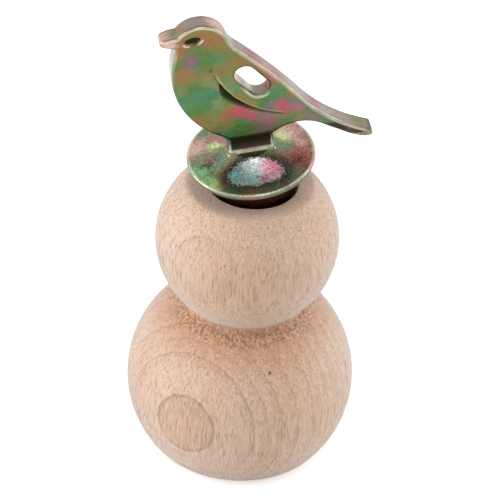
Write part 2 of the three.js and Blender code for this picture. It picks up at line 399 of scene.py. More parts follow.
class WoodenBodySettings(bpy.types.PropertyGroup):
    """Sizes and colours of the turned wooden body."""

    facets: IntProperty(
        name="Facets", description="Segments round the turned body", default=300, min=32
    )
    step: FloatProperty(
        name="Step",
        description="Distance between rings of the outside",
        default=0.3 * MM,
        subtype="DISTANCE",
        unit="LENGTH",
    )
    tool_mark_pitch: FloatProperty(
        name="Tool mark pitch",
        description="Distance between the faint turning marks",
        default=1.3 * MM,
        subtype="DISTANCE",
        unit="LENGTH",
    )
    tool_mark_depth: FloatProperty(
        name="Tool mark depth",
        description="Depth of the faint turning marks",
        default=0.012 * MM,
        subtype="DISTANCE",
        unit="LENGTH",
    )
    torn_depth: FloatProperty(
        name="Torn grain depth",
        description="Depth of the torn end grain beside the neck",
        default=0.14 * MM,
        subtype="DISTANCE",
        unit="LENGTH",
    )
    wood: FloatVectorProperty(
        name="Wood",
        description="Colour of the bare wood",
        default=linear(225, 190, 165),
        subtype="COLOR",
    )
    # Painted shade: the neck colour is a warmer, darker band that stands in for the shade and warm
    # bounce light below the neck.
    neck: FloatVectorProperty(
        name="Neck",
        description="Colour of the warmer grain below the neck",
        default=linear(208, 142, 92),
        subtype="COLOR",
    )
    end_grain: FloatVectorProperty(
        name="End grain",
        description="Colour of the flat end round the bore",
        default=linear(234, 198, 170),
        subtype="COLOR",
    )
    ring: FloatVectorProperty(
        name="Ring line",
        description="Colour of the late wood line of each ring",
        default=linear(150, 108, 82),
        subtype="COLOR",
    )
    tan: FloatVectorProperty(
        name="Tan patches",
        description="Colour of the warmer areas",
        default=linear(220, 178, 142),
        subtype="COLOR",
    )
    pore: FloatVectorProperty(
        name="Pores",
        description="Colour of the short dark pores",
        default=linear(146, 104, 76),
        subtype="COLOR",
    )


class BirdKeySettings(bpy.types.PropertyGroup):
    """Sizes and colours of the cast bird key."""

    thickness: FloatProperty(
        name="Blade thickness",
        description="Thickness of the bird",
        default=3.2 * MM,
        subtype="DISTANCE",
        unit="LENGTH",
    )
    edge_round: FloatProperty(
        name="Edge round",
        description="Rounding of the bird's edges",
        default=0.32 * MM,
        subtype="DISTANCE",
        unit="LENGTH",
    )
    mesh_size: FloatProperty(
        name="Mesh size",
        description="Edge length of the cast surface's mesh",
        default=0.18 * MM,
        subtype="DISTANCE",
        unit="LENGTH",
    )
    wing_step: FloatProperty(
        name="Wing step",
        description="Depth of the hollow under the wing",
        default=0.5 * MM,
        subtype="DISTANCE",
        unit="LENGTH",
    )
    roughness: FloatProperty(
        name="Roughness",
        description="Roughness of the finish",
        default=0.3,
        min=0,
        max=1,
        subtype="FACTOR",
    )


class RosinCoatSettings(bpy.types.PropertyGroup):
    """Sizes and colours of the rosin round the plug."""

    crumbs: IntProperty(name="Crumbs", description="Loose grains of rosin", default=260, min=0)
    crumb_radius: FloatProperty(
        name="Crumb radius",
        description="Radius of the largest grain",
        default=0.09 * MM,
        subtype="DISTANCE",
        unit="LENGTH",
    )
    amber: FloatVectorProperty(
        name="Amber",
        description="Colour of the powder",
        default=linear(216, 174, 98),
        subtype="COLOR",
    )


class StageSettings(bpy.types.PropertyGroup):
    """Floor, light and camera."""

    floor_size: FloatProperty(
        name="Floor size",
        description="Side of the square floor",
        default=6.0,
        subtype="DISTANCE",
        unit="LENGTH",
    )
    lens: FloatProperty(name="Lens", description="Focal length in millimetres", default=191.38)
    room: FloatProperty(
        name="Room light",
        description="Strength of the light from all round",
        default=0.58,
    )


# Finishes.

# Colours of the wood's finest marks and of the rosin's grains.
FURROW_BROWN = linear(140, 92, 58)
FRAY_CREAM = linear(240, 210, 184)
STROKE_CREAM = linear(236, 208, 188)
FLECK_BROWN = linear(92, 60, 42)
ROSIN_SHADE = linear(168, 118, 52)
ROSIN_DUST = linear(240, 222, 176)
# How fine the wood's marks are across and along the grain.
FIBRE_SCALE = (2.3, 2.3, 0.14)
STROKE_SCALE = (3.8, 3.8, 0.42)
BLOTCH_SCALE = (0.09, 0.09, 0.05)
FUZZ_SCALE = (3.0, 3.0, 0.8)
FLECK_SCALE = (3.2, 3.2, 1.5)
# The upper ball's rings hold above the first height and the lower ball's below the second.
RING_CHANGE_HEIGHTS = (32.0, 24.0)


def ring_lines(tree, across):
    """Dark lines where growth rings end: sharp outside and fading inwards."""
    lines = None
    for end, darkness in RINGS:
        inside = calc(tree, "SUBTRACT", across, end)
        sharp = remap(tree, inside, -0.05, 0.03)
        thin = calc(tree, "MULTIPLY", sharp, remap(tree, inside, 0.2, 0.05, 0.0, 0.62 * darkness))
        faded = calc(tree, "MULTIPLY", sharp, remap(tree, inside, 1.3, 0.0, 0.0, 0.38 * darkness))
        line_here = calc(tree, "ADD", thin, faded)
        lines = calc(tree, "MAXIMUM", lines, line_here) if lines else line_here
    return lines


def wood_finish(settings):
    """Bare pale hardwood with upright grain, flat growth rings, short pores and fuzz, and painted
    shade with warm bounce light below the neck.
    """
    material, tree, shader = new_material("bare_pale_hardwood")
    place = add_node(tree, "ShaderNodeTexCoord").outputs["Object"]
    place = scaled(tree, place, (1 / MM,) * 3)
    axes = add_node(tree, "ShaderNodeSeparateXYZ", {0: place}).outputs
    lower_half = remap(tree, axes[2], *RING_CHANGE_HEIGHTS)
    upper = vector_calc(tree, "DOT_PRODUCT", place, RING_NORMAL)
    lower = vector_calc(tree, "DOT_PRODUCT", place, LOWER_RING_NORMAL)
    lower = calc(tree, "ADD", lower, LOWER_RING_OFFSET)
    lean = calc(tree, "SUBTRACT", lower, upper)
    across = calc(tree, "MULTIPLY_ADD", lean, lower_half, upper)
    drift = calc(tree, "SUBTRACT", noise_of(tree, place, 0.16, 1.0, 0.3), 0.5)
    across = calc(tree, "MULTIPLY_ADD", drift, 0.45, across)
    across = calc(tree, "ADD", across, calc(tree, "MULTIPLY_ADD", lower_half, -0.45, 0.45))
    rings = calc(
        tree,
        "MULTIPLY",
        ring_lines(tree, across),
        remap(tree, lower_half, 0, 1, 0.45, 0.95),
    )
    heart = remap(tree, across, RINGS[0][0] - 0.05, RINGS[0][0] + 0.5, 0.0, 0.6)
    heart = calc(tree, "MULTIPLY", heart, lower_half)

    fibres = noise_of(tree, scaled(tree, place, FIBRE_SCALE), 1.0, 3.0, 0.65)
    strokes = noise_of(tree, scaled(tree, place, STROKE_SCALE), 1.0, 2.0, 0.6)
    pores = remap(tree, strokes, 0.58, 0.72)
    lights = remap(tree, strokes, 0.44, 0.32)
    patches = noise_of(tree, scaled(tree, place, BLOTCH_SCALE), 1.0, 2.0)
    fuzz = noise_of(tree, scaled(tree, place, FUZZ_SCALE), 1.0, 3.0, 0.7)
    torn = noise_of(tree, scaled(tree, place, TORN_SCALE), 1.0, 2.0, 0.6)
    at_neck = remap(
        tree,
        calc(tree, "ABSOLUTE", calc(tree, "SUBTRACT", axes[2], NECK_HEIGHT)),
        1.5,
        0.6,
    )
    furrows = calc(tree, "MULTIPLY", remap(tree, torn, 0.5, 0.62, 0.0, 0.6), at_neck)
    frays = calc(tree, "MULTIPLY", remap(tree, torn, 0.46, 0.36, 0.0, 0.6), at_neck)

    warmth = calc(tree, "MAXIMUM", remap(tree, patches, 0.42, 0.66, 0.0, 0.6), heart)
    colour = mix_colour(tree, warmth, settings.wood, settings.tan)
    # Painted shade and bounce light: a band below the neck mixed towards the neck colour.
    neck_shade_and_bounce = calc(
        tree,
        "MULTIPLY",
        remap(tree, axes[2], 21.0, 27.5),
        remap(tree, axes[2], 30.5, 28.2),
    )
    colour = mix_colour(tree, calc(tree, "MULTIPLY", neck_shade_and_bounce, 0.6), colour, settings.neck)
    colour = mix_colour(tree, furrows, colour, FURROW_BROWN)
    colour = mix_colour(tree, frays, colour, FRAY_CREAM)
    colour = mix_colour(tree, calc(tree, "MULTIPLY", rings, 0.55), colour, settings.ring)
    shade = remap(tree, fibres, 0.3, 0.7, 0.81, 1.13, smooth=False)
    grey = add_node(tree, "ShaderNodeCombineColor", {0: shade, 1: shade, 2: shade}).outputs[0]
    colour = mix_colour(tree, 1.0, colour, grey, "MULTIPLY")
    colour = mix_colour(tree, calc(tree, "MULTIPLY", pores, 0.25), colour, settings.pore)
    colour = mix_colour(tree, calc(tree, "MULTIPLY", lights, 0.5), colour, STROKE_CREAM)
    off = vector_calc(tree, "SUBTRACT", place, FLECK_PLACE)
    fleck = vector_calc(tree, "LENGTH", scaled(tree, off, FLECK_SCALE))
    colour = mix_colour(tree, remap(tree, fleck, 1.1, 0.5, 0.0, 0.85), colour, FLECK_BROWN)
    end_grain = calc(
        tree,
        "MULTIPLY",
        remap(tree, axes[2], LAND_HEIGHT - 0.3, LAND_HEIGHT - 0.1),
        remap(tree, noise_of(tree, place, 1.8, 3.0, 0.8), 0.35, 0.65, 0.25, 1.0),
    )
    colour = mix_colour(tree, end_grain, colour, settings.end_grain)

    height = calc(tree, "MULTIPLY_ADD", fibres, 1.3, calc(tree, "MULTIPLY", pores, -0.6))
    height = calc(tree, "ADD", height, calc(tree, "MULTIPLY", fuzz, 0.9))
    bump = add_node(
        tree, "ShaderNodeBump", {"Height": height, "Strength": 1.0, "Distance": 0.17 * MM}
    )
    shader.inputs["Sheen Weight"].default_value = 1.0
    shader.inputs["Sheen Roughness"].default_value = 0.38
    tree.links.new(colour, shader.inputs["Base Color"])
    tree.links.new(remap(tree, strokes, 0.3, 0.7, 0.55, 0.75), shader.inputs["Roughness"])
    tree.links.new(bump.outputs[0], shader.inputs["Normal"])
    return material


# Colours of the iridescent chromate film, and of the highlights, reflections and shade painted over
# it.
MOSS = linear(82, 118, 60)
OLIVE = linear(124, 116, 70)
SAGE = linear(112, 132, 90)
TEAL = linear(76, 122, 86)
COPPER = linear(144, 104, 68)
ROSE = linear(178, 80, 100)
VIOLET = linear(120, 92, 112)
MAUVE = linear(148, 100, 108)
SLATE = linear(112, 106, 102)
# Black-green of the painted shade and painted dark reflections, and of the dark specks.
BLACK_GREEN = linear(32, 36, 23)
BROWN = linear(104, 54, 40)
RED_BROWN = linear(160, 86, 78)
# Cream of the painted highlights and glints.
HIGHLIGHT_CREAM = linear(238, 230, 214)
PEACH = linear(212, 176, 156)
SHELL_PINK = linear(232, 144, 170)
PALE_LIME = linear(206, 222, 150)
BRIGHT_GREEN = linear(118, 190, 128)
SILVER = linear(176, 182, 178)
SEA_GREY = linear(122, 162, 166)
EDGE_GREY = linear(150, 140, 134)
# The grey of the painted reflection patch, the gold of the wing's painted highlight, the flange
# side's brown and the brown of the painted shade under the flange.
REFLECTION_PATCH_GREY = linear(166, 176, 175)
WING_HIGHLIGHT_GOLD = linear(190, 186, 130)
FLANGE_SIDE_BROWN = linear(104, 88, 76)
UNDERSIDE_SHADE_BROWN = linear(66, 32, 24)

# Stains of the film on the faces: centre in the key's frame as (x, y, height above the
# flange's widest edge), reach and colour.
FACE_STAINS = (
    ((-11.4, -1.6, 25.7), 1.5, PEACH),
    ((-9.3, -1.6, 23.9), 1.5, COPPER),
    ((-7.3, -1.6, 23.5), 1.9, MOSS),
    ((-3.8, -1.6, 25.0), 2.0, COPPER),
    ((-3.0, -1.6, 22.8), 2.0, OLIVE),
    ((-4.3, -1.6, 21.6), 1.7, TEAL),
    ((-6.6, -1.6, 21.4), 1.5, MOSS),
    ((-8.3, -1.6, 22.0), 1.6, VIOLET),
    ((-8.3, -1.6, 22.0), 0.7, MAUVE),
    ((-9.9, -1.6, 19.2), 2.1, COPPER),
    ((-9.0, -1.6, 19.9), 1.3, COPPER),
    ((-7.2, -1.6, 18.8), 1.9, OLIVE),
    ((-5.6, -1.6, 17.2), 1.5, SAGE),
    ((-9.6, -1.6, 17.0), 1.5, OLIVE),
    ((-8.3, -1.6, 16.4), 1.5, MOSS),
    ((-7.6, -1.6, 14.4), 2.4, TEAL),
    ((-5.4, -1.6, 14.2), 1.8, TEAL),
    ((-8.0, -1.6, 12.0), 1.6, MOSS),
    ((-6.2, -1.6, 10.4), 1.8, OLIVE),
    ((-4.5, -1.6, 12.4), 1.5, SAGE),
    ((-2.8, -1.6, 19.2), 2.2, OLIVE),
    ((-2.6, -1.6, 16.0), 1.8, SAGE),
    ((-0.6, -1.6, 13.4), 1.8, OLIVE),
    ((-3.2, -1.6, 10.9), 1.3, COPPER),
    ((-1.3, -1.6, 10.4), 1.6, ROSE),
    ((0.3, -1.6, 9.2), 1.4, ROSE),
    ((2.2, -1.6, 8.7), 1.6, MAUVE),
    ((3.2, -1.6, 10.9), 1.7, SLATE),
    ((5.4, -1.6, 10.0), 1.9, ROSE),
    ((2.4, -1.6, 12.6), 1.4, MOSS),
    ((4.6, -1.6, 13.2), 2.0, TEAL),
    ((6.9, -1.6, 11.0), 1.3, SLATE),
    ((7.8, -1.6, 9.6), 1.4, MAUVE),
    ((-3.5, -1.6, 7.9), 1.4, OLIVE),
    ((-1.6, -1.6, 7.0), 1.5, MOSS),
    ((1.6, -1.6, 6.5), 1.2, SLATE),
    ((3.4, -1.6, 7.4), 1.5, MAUVE),
    ((10.2, -1.6, 7.2), 2.2, SLATE),
    ((13.6, -1.6, 4.7), 1.8, SLATE),
    ((16.0, -1.6, 2.8), 1.5, PEACH),
    ((17.9, -1.6, 2.2), 1.2, MAUVE),
)

# Stains of the narrow edge faces, and of the flange; on the flange they are partly painted
# reflections of the lamps and the room, in the film's tints.
EDGE_STAINS = (
    ((-12.2, 0.0, 26.0), 2.0, PEACH),
    ((-10.3, 0.0, 26.6), 0.9, SAGE),
    ((-9.2, 0.0, 27.3), 1.1, COPPER),
    ((-7.4, 0.0, 28.6), 2.2, EDGE_GREY),
    ((-4.3, 0.0, 27.4), 1.6, PEACH),
    ((-11.0, 0.0, 18.5), 5.0, SILVER),
    ((1.0, 0.0, 19.6), 2.4, MAUVE),
    ((4.4, 0.0, 15.2), 2.2, MAUVE),
    ((6.6, 0.0, 12.4), 2.0, EDGE_GREY),
    ((10.0, 0.0, 8.6), 2.2, MAUVE),
    ((12.6, 0.0, 6.4), 2.0, EDGE_GREY),
    ((17.4, 0.0, 3.4), 1.8, SAGE),
    ((-1.2, 0.0, 17.0), 1.9, PEACH),
    ((0.6, 0.0, 14.3), 1.2, SILVER),
    ((3.0, 0.0, 14.4), 1.4, BROWN),
)
FLANGE_STAINS_AND_REFLECTIONS = (
    ((-8.8, 3.2, 0.7), 2.6, PEACH),
    ((-5.4, 2.0, 1.2), 1.3, PALE_LIME),
    ((-8.0, 0.2, 0.9), 1.6, SAGE),
    ((-6.2, -0.6, 1.0), 1.3, SLATE),
    ((-7.2, -0.7, 0.9), 0.9, ROSE),
    ((-8.5, -2.8, 0.7), 1.4, BRIGHT_GREEN),
    ((-7.4, -3.9, 0.7), 1.2, TEAL),
    ((-7.6, -5.2, 0.6), 1.4, BRIGHT_GREEN),
    ((-6.6, -6.4, 0.6), 1.2, PALE_LIME),
    ((-7.4, -1.7, 0.8), 0.9, BLACK_GREEN),
    ((7.6, -2.4, 0.8), 2.8, RED_BROWN),
    ((8.8, -4.4, 0.6), 1.8, RED_BROWN),
    ((6.9, -3.2, 0.7), 1.1, BROWN),
    ((6.4, 3.4, 0.9), 2.3, PEACH),
    ((6.0, -0.2, 1.2), 1.2, SAGE),
    ((5.8, 2.0, 1.1), 1.6, PALE_LIME),
    ((8.4, 0.7, 0.8), 1.2, PEACH),
    ((-1.4, -2.3, 1.8), 2.2, SAGE),
    ((1.6, -2.3, 1.8), 2.2, SAGE),
    ((-3.2, -8.0, 0.5), 1.6, TEAL),
    ((0.6, -8.9, 0.4), 1.6, SLATE),
    ((4.4, -8.2, 0.4), 1.6, SLATE),
)
# Painted reflection: the bright patch in front of the pedestal, and its tints.
REFLECTION_PATCH_CENTRE = (-0.1, -5.6)
REFLECTION_PATCH_HALF_SIZE = (4.3, 2.35)
REFLECTION_PATCH_TINTS = (
    ((-3.1, -5.4, 0.9), 2.1, SEA_GREY),
    ((-1.0, -6.9, 0.8), 1.5, SEA_GREY),
    ((2.9, -5.0, 0.9), 2.3, SHELL_PINK),
    ((1.4, -7.2, 0.7), 1.3, MAUVE),
)


def stain_and_reflection_group():
    """Node group that lays one soft-edged spot over a colour, used for stains of the chromate film
    and for painted reflections.
    """
    group = bpy.data.node_groups.new("film_stain_and_reflection", "ShaderNodeTree")
    for name, kind in (
        ("Under", "NodeSocketColor"),
        ("Stain", "NodeSocketColor"),
        ("Place", "NodeSocketVector"),
        ("Centre", "NodeSocketVector"),
        ("Reach", "NodeSocketFloat"),
    ):
        group.interface.new_socket(name, in_out="INPUT", socket_type=kind)
    group.interface.new_socket("Colour", in_out="OUTPUT", socket_type="NodeSocketColor")
    given = group.nodes.new("NodeGroupInput")
    away = vector_calc(group, "DISTANCE", given.outputs["Place"], given.outputs["Centre"])
    share = calc(group, "DIVIDE", away, given.outputs["Reach"])
    cover = remap(group, share, 1.4, 0.15, 0.0, 0.92)
    colour = mix_colour(group, cover, given.outputs["Under"], given.outputs["Stain"])
    add_node(group, "NodeGroupOutput", {"Colour": colour})
    return group


def lay_stains_and_reflections(tree, group, colour, place, stains):
    for centre, reach, stain in stains:
        x, y, height = centre
        node = tree.nodes.new("ShaderNodeGroup")
        node.node_tree = group
        node.inputs["Stain"].default_value = with_alpha(stain)
        node.inputs["Centre"].default_value = (x, y, height + FLANGE_HEIGHT)
        node.inputs["Reach"].default_value = reach
        tree.links.new(colour, node.inputs["Under"])
        tree.links.new(place, node.inputs["Place"])
        colour = node.outputs["Colour"]
    return colour


def attribute(tree, name):
    return add_node(tree, "ShaderNodeAttribute", attribute_name=name).outputs["Fac"]


def painted_reflection_patch(tree, place, warped, grains, group):
    """Painted reflection: the bright patch in front of the pedestal and the speckled dark reflection
    ring round it.
    """
    axes = add_node(tree, "ShaderNodeSeparateXYZ", {0: place}).outputs
    sides = [
        calc(tree, "DIVIDE", calc(tree, "SUBTRACT", axes[i], REFLECTION_PATCH_CENTRE[i]), REFLECTION_PATCH_HALF_SIZE[i])
        for i in (0, 1)
    ]
    flat = add_node(tree, "ShaderNodeCombineXYZ", {0: sides[0], 1: sides[1]}).outputs[0]
    away = vector_calc(tree, "LENGTH", flat)
    ragged = calc(tree, "MULTIPLY_ADD", calc(tree, "SUBTRACT", grains, 0.5), 0.85, away)
    # inner marks the painted bright reflection; ring marks the painted speckled dark reflection
    # round it, strongest in front of the pedestal.
    inner = remap(tree, ragged, 1.08, 0.9)
    in_front = remap(tree, axes[1], -1.6, -3.6, 0.35, 1.0)
    ring = calc(tree, "MULTIPLY", remap(tree, ragged, 1.75, 1.15, 0.0, 0.8), in_front)
    colour = lay_stains_and_reflections(tree, group, plain_colour(tree, REFLECTION_PATCH_GREY), warped, REFLECTION_PATCH_TINTS)
    return {"inside": inner, "ring": ring, "colour": colour}


def plain_colour(tree, colour):
    made = add_node(tree, "ShaderNodeRGB")
    made.outputs[0].default_value = with_alpha(colour)
    return made.outputs[0]


def chromate_finish(settings):
    """Iridescent chromate film over cast zinc, with painted highlights, reflections and shade."""
    material, tree, shader = new_material("iridescent_chromated_zinc")
    back = KEY_FRAME.inverted()
    turn = back.to_3x3().normalized()
    place = add_node(
        tree,
        "ShaderNodeMapping",
        {
            "Vector": add_node(tree, "ShaderNodeTexCoord").outputs["Object"],
            "Location": back.translation,
            "Rotation": turn.to_euler(),
            "Scale": (1 / MM,) * 3,
        },
    ).outputs[0]
    swirl = noise_of(tree, place, 0.5, 3.0, 0.6, "Color")
    swirl = vector_calc(tree, "SUBTRACT", swirl, (0.5, 0.5, 0.5))
    warped = vector_calc(tree, "MULTIPLY_ADD", swirl, (2.6, 2.6, 2.6), place)
    ripple = noise_of(tree, place, 2.2, 2.0, 0.6, "Color")
    ripple = vector_calc(tree, "SUBTRACT", ripple, (0.5, 0.5, 0.5))
    warped = vector_calc(tree, "MULTIPLY_ADD", ripple, (1.5, 1.5, 1.5), warped)
    stops = (
        (0.28, ROSE),
        (0.36, MAUVE),
        (0.43, COPPER),
        (0.49, OLIVE),
        (0.55, MOSS),
        (0.62, TEAL),
        (0.7, SAGE),
        (0.78, MAUVE),
    )
    film = ramp(tree, noise_of(tree, warped, 0.16, 2.0), stops)
    group = stain_and_reflection_group()
    grains = noise_of(tree, place, 3.4, 2.0, 0.7)
    face = lay_stains_and_reflections(tree, group, film, warped, FACE_STAINS)
    edge = lay_stains_and_reflections(tree, group, mix_colour(tree, 0.75, film, EDGE_GREY), warped, EDGE_STAINS)
    flange = lay_stains_and_reflections(tree, group, mix_colour(tree, 0.2, film, SILVER), warped, FLANGE_STAINS_AND_REFLECTIONS)
    patch = painted_reflection_patch(tree, place, warped, grains, group)
    # Painted reflections on the flange: the speckled dark ring, then the bright patch.
    flange = mix_colour(tree, patch["ring"], flange, BLACK_GREEN)
    flange = mix_colour(tree, patch["inside"], flange, patch["colour"])

    height = add_node(tree, "ShaderNodeSeparateXYZ", {0: place}).outputs["Z"]
    on_blade = remap(
        tree,
        height,
        FLANGE_HEIGHT + FLANGE_HUB_RISE,
        FLANGE_HEIGHT + FLANGE_HUB_RISE + 0.4,
    )
    speckle = calc(tree, "SUBTRACT", 1.0, calc(tree, "MULTIPLY", on_blade, 0.8))
    dark_specks = calc(tree, "MULTIPLY", remap(tree, grains, 0.54, 0.64, 0.0, 0.6), speckle)
    # Painted glints: the pale specks.
    glint_specks = calc(tree, "MULTIPLY", remap(tree, grains, 0.42, 0.34, 0.0, 0.25), speckle)
    edge_face = attribute(tree, "edge_face")
    colour = mix_colour(tree, on_blade, flange, face)
    colour = mix_colour(tree, edge_face, colour, edge)
    colour = mix_colour(tree, dark_specks, colour, BLACK_GREEN)
    colour = mix_colour(tree, calc(tree, "MULTIPLY", glint_specks, speckle), colour, HIGHLIGHT_CREAM)
    # Painted dark reflection: the pedestal's front face below the bird is darkened to black-green.
    pedestal = calc(
        tree,
        "MULTIPLY",
        remap(tree, height, FLANGE_HEIGHT + 5.8, FLANGE_HEIGHT + 4.8),
        calc(tree, "MULTIPLY", on_blade, calc(tree, "SUBTRACT", 1.0, edge_face)),
    )
    colour = mix_colour(tree, calc(tree, "MULTIPLY", pedestal, 0.9), colour, BLACK_GREEN)
    # Painted shade: the hollow under the wing, the eye, the crease and the dimple are darkened to
    # black-green.
    colour = mix_colour(tree, attribute(tree, "shaded_hollow"), colour, BLACK_GREEN)
    # Painted dark reflection: a thin brown line just inside the rounded upper edges.
    colour = mix_colour(
        tree,
        calc(tree, "MULTIPLY", attribute(tree, "edge_dark_reflection"), 0.75),
        colour,
        BROWN,
    )
    # Painted highlight: a pale gold line along the wing's raised edge.
    wing_highlight = calc(tree, "MULTIPLY", attribute(tree, "wing_highlight"), 0.7)
    colour = mix_colour(tree, wing_highlight, colour, WING_HIGHLIGHT_GOLD)
    # Painted highlights: pale lines along the upper rims, the flange's lip, the eye's rim, the cord
    # slot and the pedestal, stronger and weaker along their length.
    highlight_strength = remap(tree, noise_of(tree, place, 0.35, 2.0), 0.3, 0.6, 0.55, 1.0)
    colour = mix_colour(
        tree,
        calc(tree, "MULTIPLY", attribute(tree, "painted_highlight_line"), highlight_strength),
        colour,
        HIGHLIGHT_CREAM,
    )
    side = calc(tree, "MULTIPLY", attribute(tree, "flange_side"), 0.8)
    colour = mix_colour(tree, side, colour, FLANGE_SIDE_BROWN)
    # Painted shade: below the flange the collar and plug turn dark red-brown, for the shade under
    # the flange and the wood reflected there.
    under = remap(tree, height, FLANGE_HEIGHT - 0.75, FLANGE_HEIGHT - 1.2)
    colour = mix_colour(tree, under, colour, UNDERSIDE_SHADE_BROWN)

    peel = calc(tree, "ADD", noise_of(tree, place, 1.5, 2.0), calc(tree, "MULTIPLY", grains, 0.5))
    bump = add_node(
        tree, "ShaderNodeBump", {"Height": peel, "Strength": 0.4, "Distance": 0.09 * MM}
    )
    shader.inputs["Metallic"].default_value = 0.92
    tree.links.new(colour, shader.inputs["Base Color"])
    roughness = remap(
        tree,
        noise_of(tree, place, 0.6, 2.0),
        0.3,
        0.7,
        settings.roughness - 0.04,
        settings.roughness + 0.12,
    )
    tree.links.new(roughness, shader.inputs["Roughness"])
    tree.links.new(bump.outputs[0], shader.inputs["Normal"])
    return material


def rosin_finish(settings):
    """Packed amber rosin powder, paler where it is crushed."""
    material, tree, shader = new_material("packed_rosin_powder")
    place = scaled(tree, add_node(tree, "ShaderNodeTexCoord").outputs["Object"], (1 / MM,) * 3)
    clumps = noise_of(tree, place, 1.3, 3.0, 0.7)
    dust = noise_of(tree, place, 6.0, 2.0, 0.6)
    colour = mix_colour(tree, remap(tree, clumps, 0.35, 0.65), settings.amber, ROSIN_SHADE)
    colour = mix_colour(tree, remap(tree, dust, 0.5, 0.72, 0.0, 0.6), colour, ROSIN_DUST)
    height = calc(tree, "ADD", clumps, calc(tree, "MULTIPLY", dust, 0.5))
    bump = add_node(
        tree, "ShaderNodeBump", {"Height": height, "Strength": 0.7, "Distance": 0.1 * MM}
    )
    tree.links.new(colour, shader.inputs["Base Color"])
    tree.links.new(remap(tree, dust, 0.3, 0.7, 0.65, 0.9), shader.inputs["Roughness"])
    tree.links.new(bump.outputs[0], shader.inputs["Normal"])
    return material


# Geometry Nodes.


def new_geometry_tree(name, inputs):
    """A geometry tree with one geometry in and out and the named inputs."""
    tree = bpy.data.node_groups.new(name, "GeometryNodeTree")
    tree.interface.new_socket("Geometry", in_out="INPUT", socket_type="NodeSocketGeometry")
    tree.interface.new_socket("Geometry", in_out="OUTPUT", socket_type="NodeSocketGeometry")
    for label, kind in inputs:
        tree.interface.new_socket(label, in_out="INPUT", socket_type=kind)
    return tree, tree.nodes.new("NodeGroupInput").outputs


def finish_tree(tree, geometry, material):
    """Ends a tree with Realize Instances and Set Material."""
    real = add_node(tree, "GeometryNodeRealizeInstances", {"Geometry": geometry}).outputs[0]
    painted = add_node(tree, "GeometryNodeSetMaterial", {"Geometry": real, "Material": material})
    add_node(tree, "NodeGroupOutput", {"Geometry": painted.outputs[0]})


def grown_mesh(source, tree, values):
    """Runs the tree on the source object with its named inputs set, and returns the plain mesh."""
    modifier = source.modifiers.new("tree", "NODES")
    modifier.node_group = tree
    for item in tree.interface.items_tree:
        if item.item_type == "SOCKET" and item.in_out == "INPUT" and item.name in values:
            modifier[item.identifier] = values[item.name]
    mesh = evaluated_mesh(source)
    discard(source)
    return mesh


def turning_tree():
    """Turns a profile about Z, shifts the bore off centre and cuts tool marks and torn grain."""
    tree, given = new_geometry_tree(
        "turned_on_lathe",
        (
            ("Facets", "NodeSocketInt"),
            ("Reel Radius", "NodeSocketFloat"),
            ("Bore Shift", "NodeSocketFloat"),
            ("Bore Radius", "NodeSocketFloat"),
            ("Land Radius", "NodeSocketFloat"),
            ("Tool Mark Pitch", "NodeSocketFloat"),
            ("Tool Mark Depth", "NodeSocketFloat"),
            ("Neck Height", "NodeSocketFloat"),
            ("Torn Depth", "NodeSocketFloat"),
            ("Material", "NodeSocketMaterial"),
        ),
    )
    profile = add_node(tree, "GeometryNodeMeshToCurve", {"Mesh": given["Geometry"]}).outputs[0]
    reel = add_node(
        tree,
        "GeometryNodeCurvePrimitiveCircle",
        {"Resolution": given["Facets"], "Radius": given["Reel Radius"]},
    )
    swept = add_node(
        tree, "GeometryNodeCurveToMesh", {"Curve": reel.outputs[0], "Profile Curve": profile}
    )
    closed = add_node(
        tree, "GeometryNodeMergeByDistance", {"Geometry": swept.outputs[0], "Distance": TINY}
    ).outputs[0]
    place = tree.nodes.new("GeometryNodeInputPosition").outputs[0]
    axes = add_node(tree, "ShaderNodeSeparateXYZ", {0: place}).outputs
    plan = add_node(tree, "ShaderNodeCombineXYZ", {0: axes[0], 1: axes[1]}).outputs[0]
    radius = vector_calc(tree, "LENGTH", plan)
    in_bore = remap(tree, radius, given["Land Radius"], given["Bore Radius"], smooth=False)
    shift = calc(tree, "MULTIPLY", in_bore, given["Bore Shift"])
    offset = add_node(tree, "ShaderNodeCombineXYZ", {0: shift}).outputs[0]
    shifted = add_node(tree, "GeometryNodeSetPosition", {"Geometry": closed, "Offset": offset})

    outside = remap(tree, radius, 8.6 * MM, 9.4 * MM)
    turns = calc(
        tree,
        "DIVIDE",
        calc(tree, "MULTIPLY", axes[2], math.tau),
        given["Tool Mark Pitch"],
    )
    wave = calc(tree, "MULTIPLY_ADD", calc(tree, "SINE", turns), 0.5, 0.5)
    marks = calc(tree, "MULTIPLY", wave, given["Tool Mark Depth"])
    from_neck = calc(tree, "ABSOLUTE", calc(tree, "SUBTRACT", axes[2], given["Neck Height"]))
    near_neck = remap(tree, from_neck, 1.5 * MM, 0.6 * MM)
    torn_place = scaled(tree, place, tuple(scale / MM for scale in TORN_SCALE))
    torn = remap(tree, noise_of(tree, torn_place, 1.0, 2.0, 0.6), 0.44, 0.64)
    tears = calc(tree, "MULTIPLY", calc(tree, "MULTIPLY", torn, near_neck), given["Torn Depth"])
    cut = calc(tree, "MULTIPLY", calc(tree, "ADD", marks, tears), outside)
    normal = tree.nodes.new("GeometryNodeInputNormal").outputs[0]
    inward = add_node(
        tree,
        "ShaderNodeVectorMath",
        {0: normal, "Scale": calc(tree, "MULTIPLY", cut, -1.0)},
        operation="SCALE",
    ).outputs["Vector"]
    worked = add_node(
        tree, "GeometryNodeSetPosition", {"Geometry": shifted.outputs[0], "Offset": inward}
    )
    smooth = add_node(tree, "GeometryNodeSetShadeSmooth", {0: worked.outputs[0]})
    finish_tree(tree, smooth.outputs[0], given["Material"])
    return tree


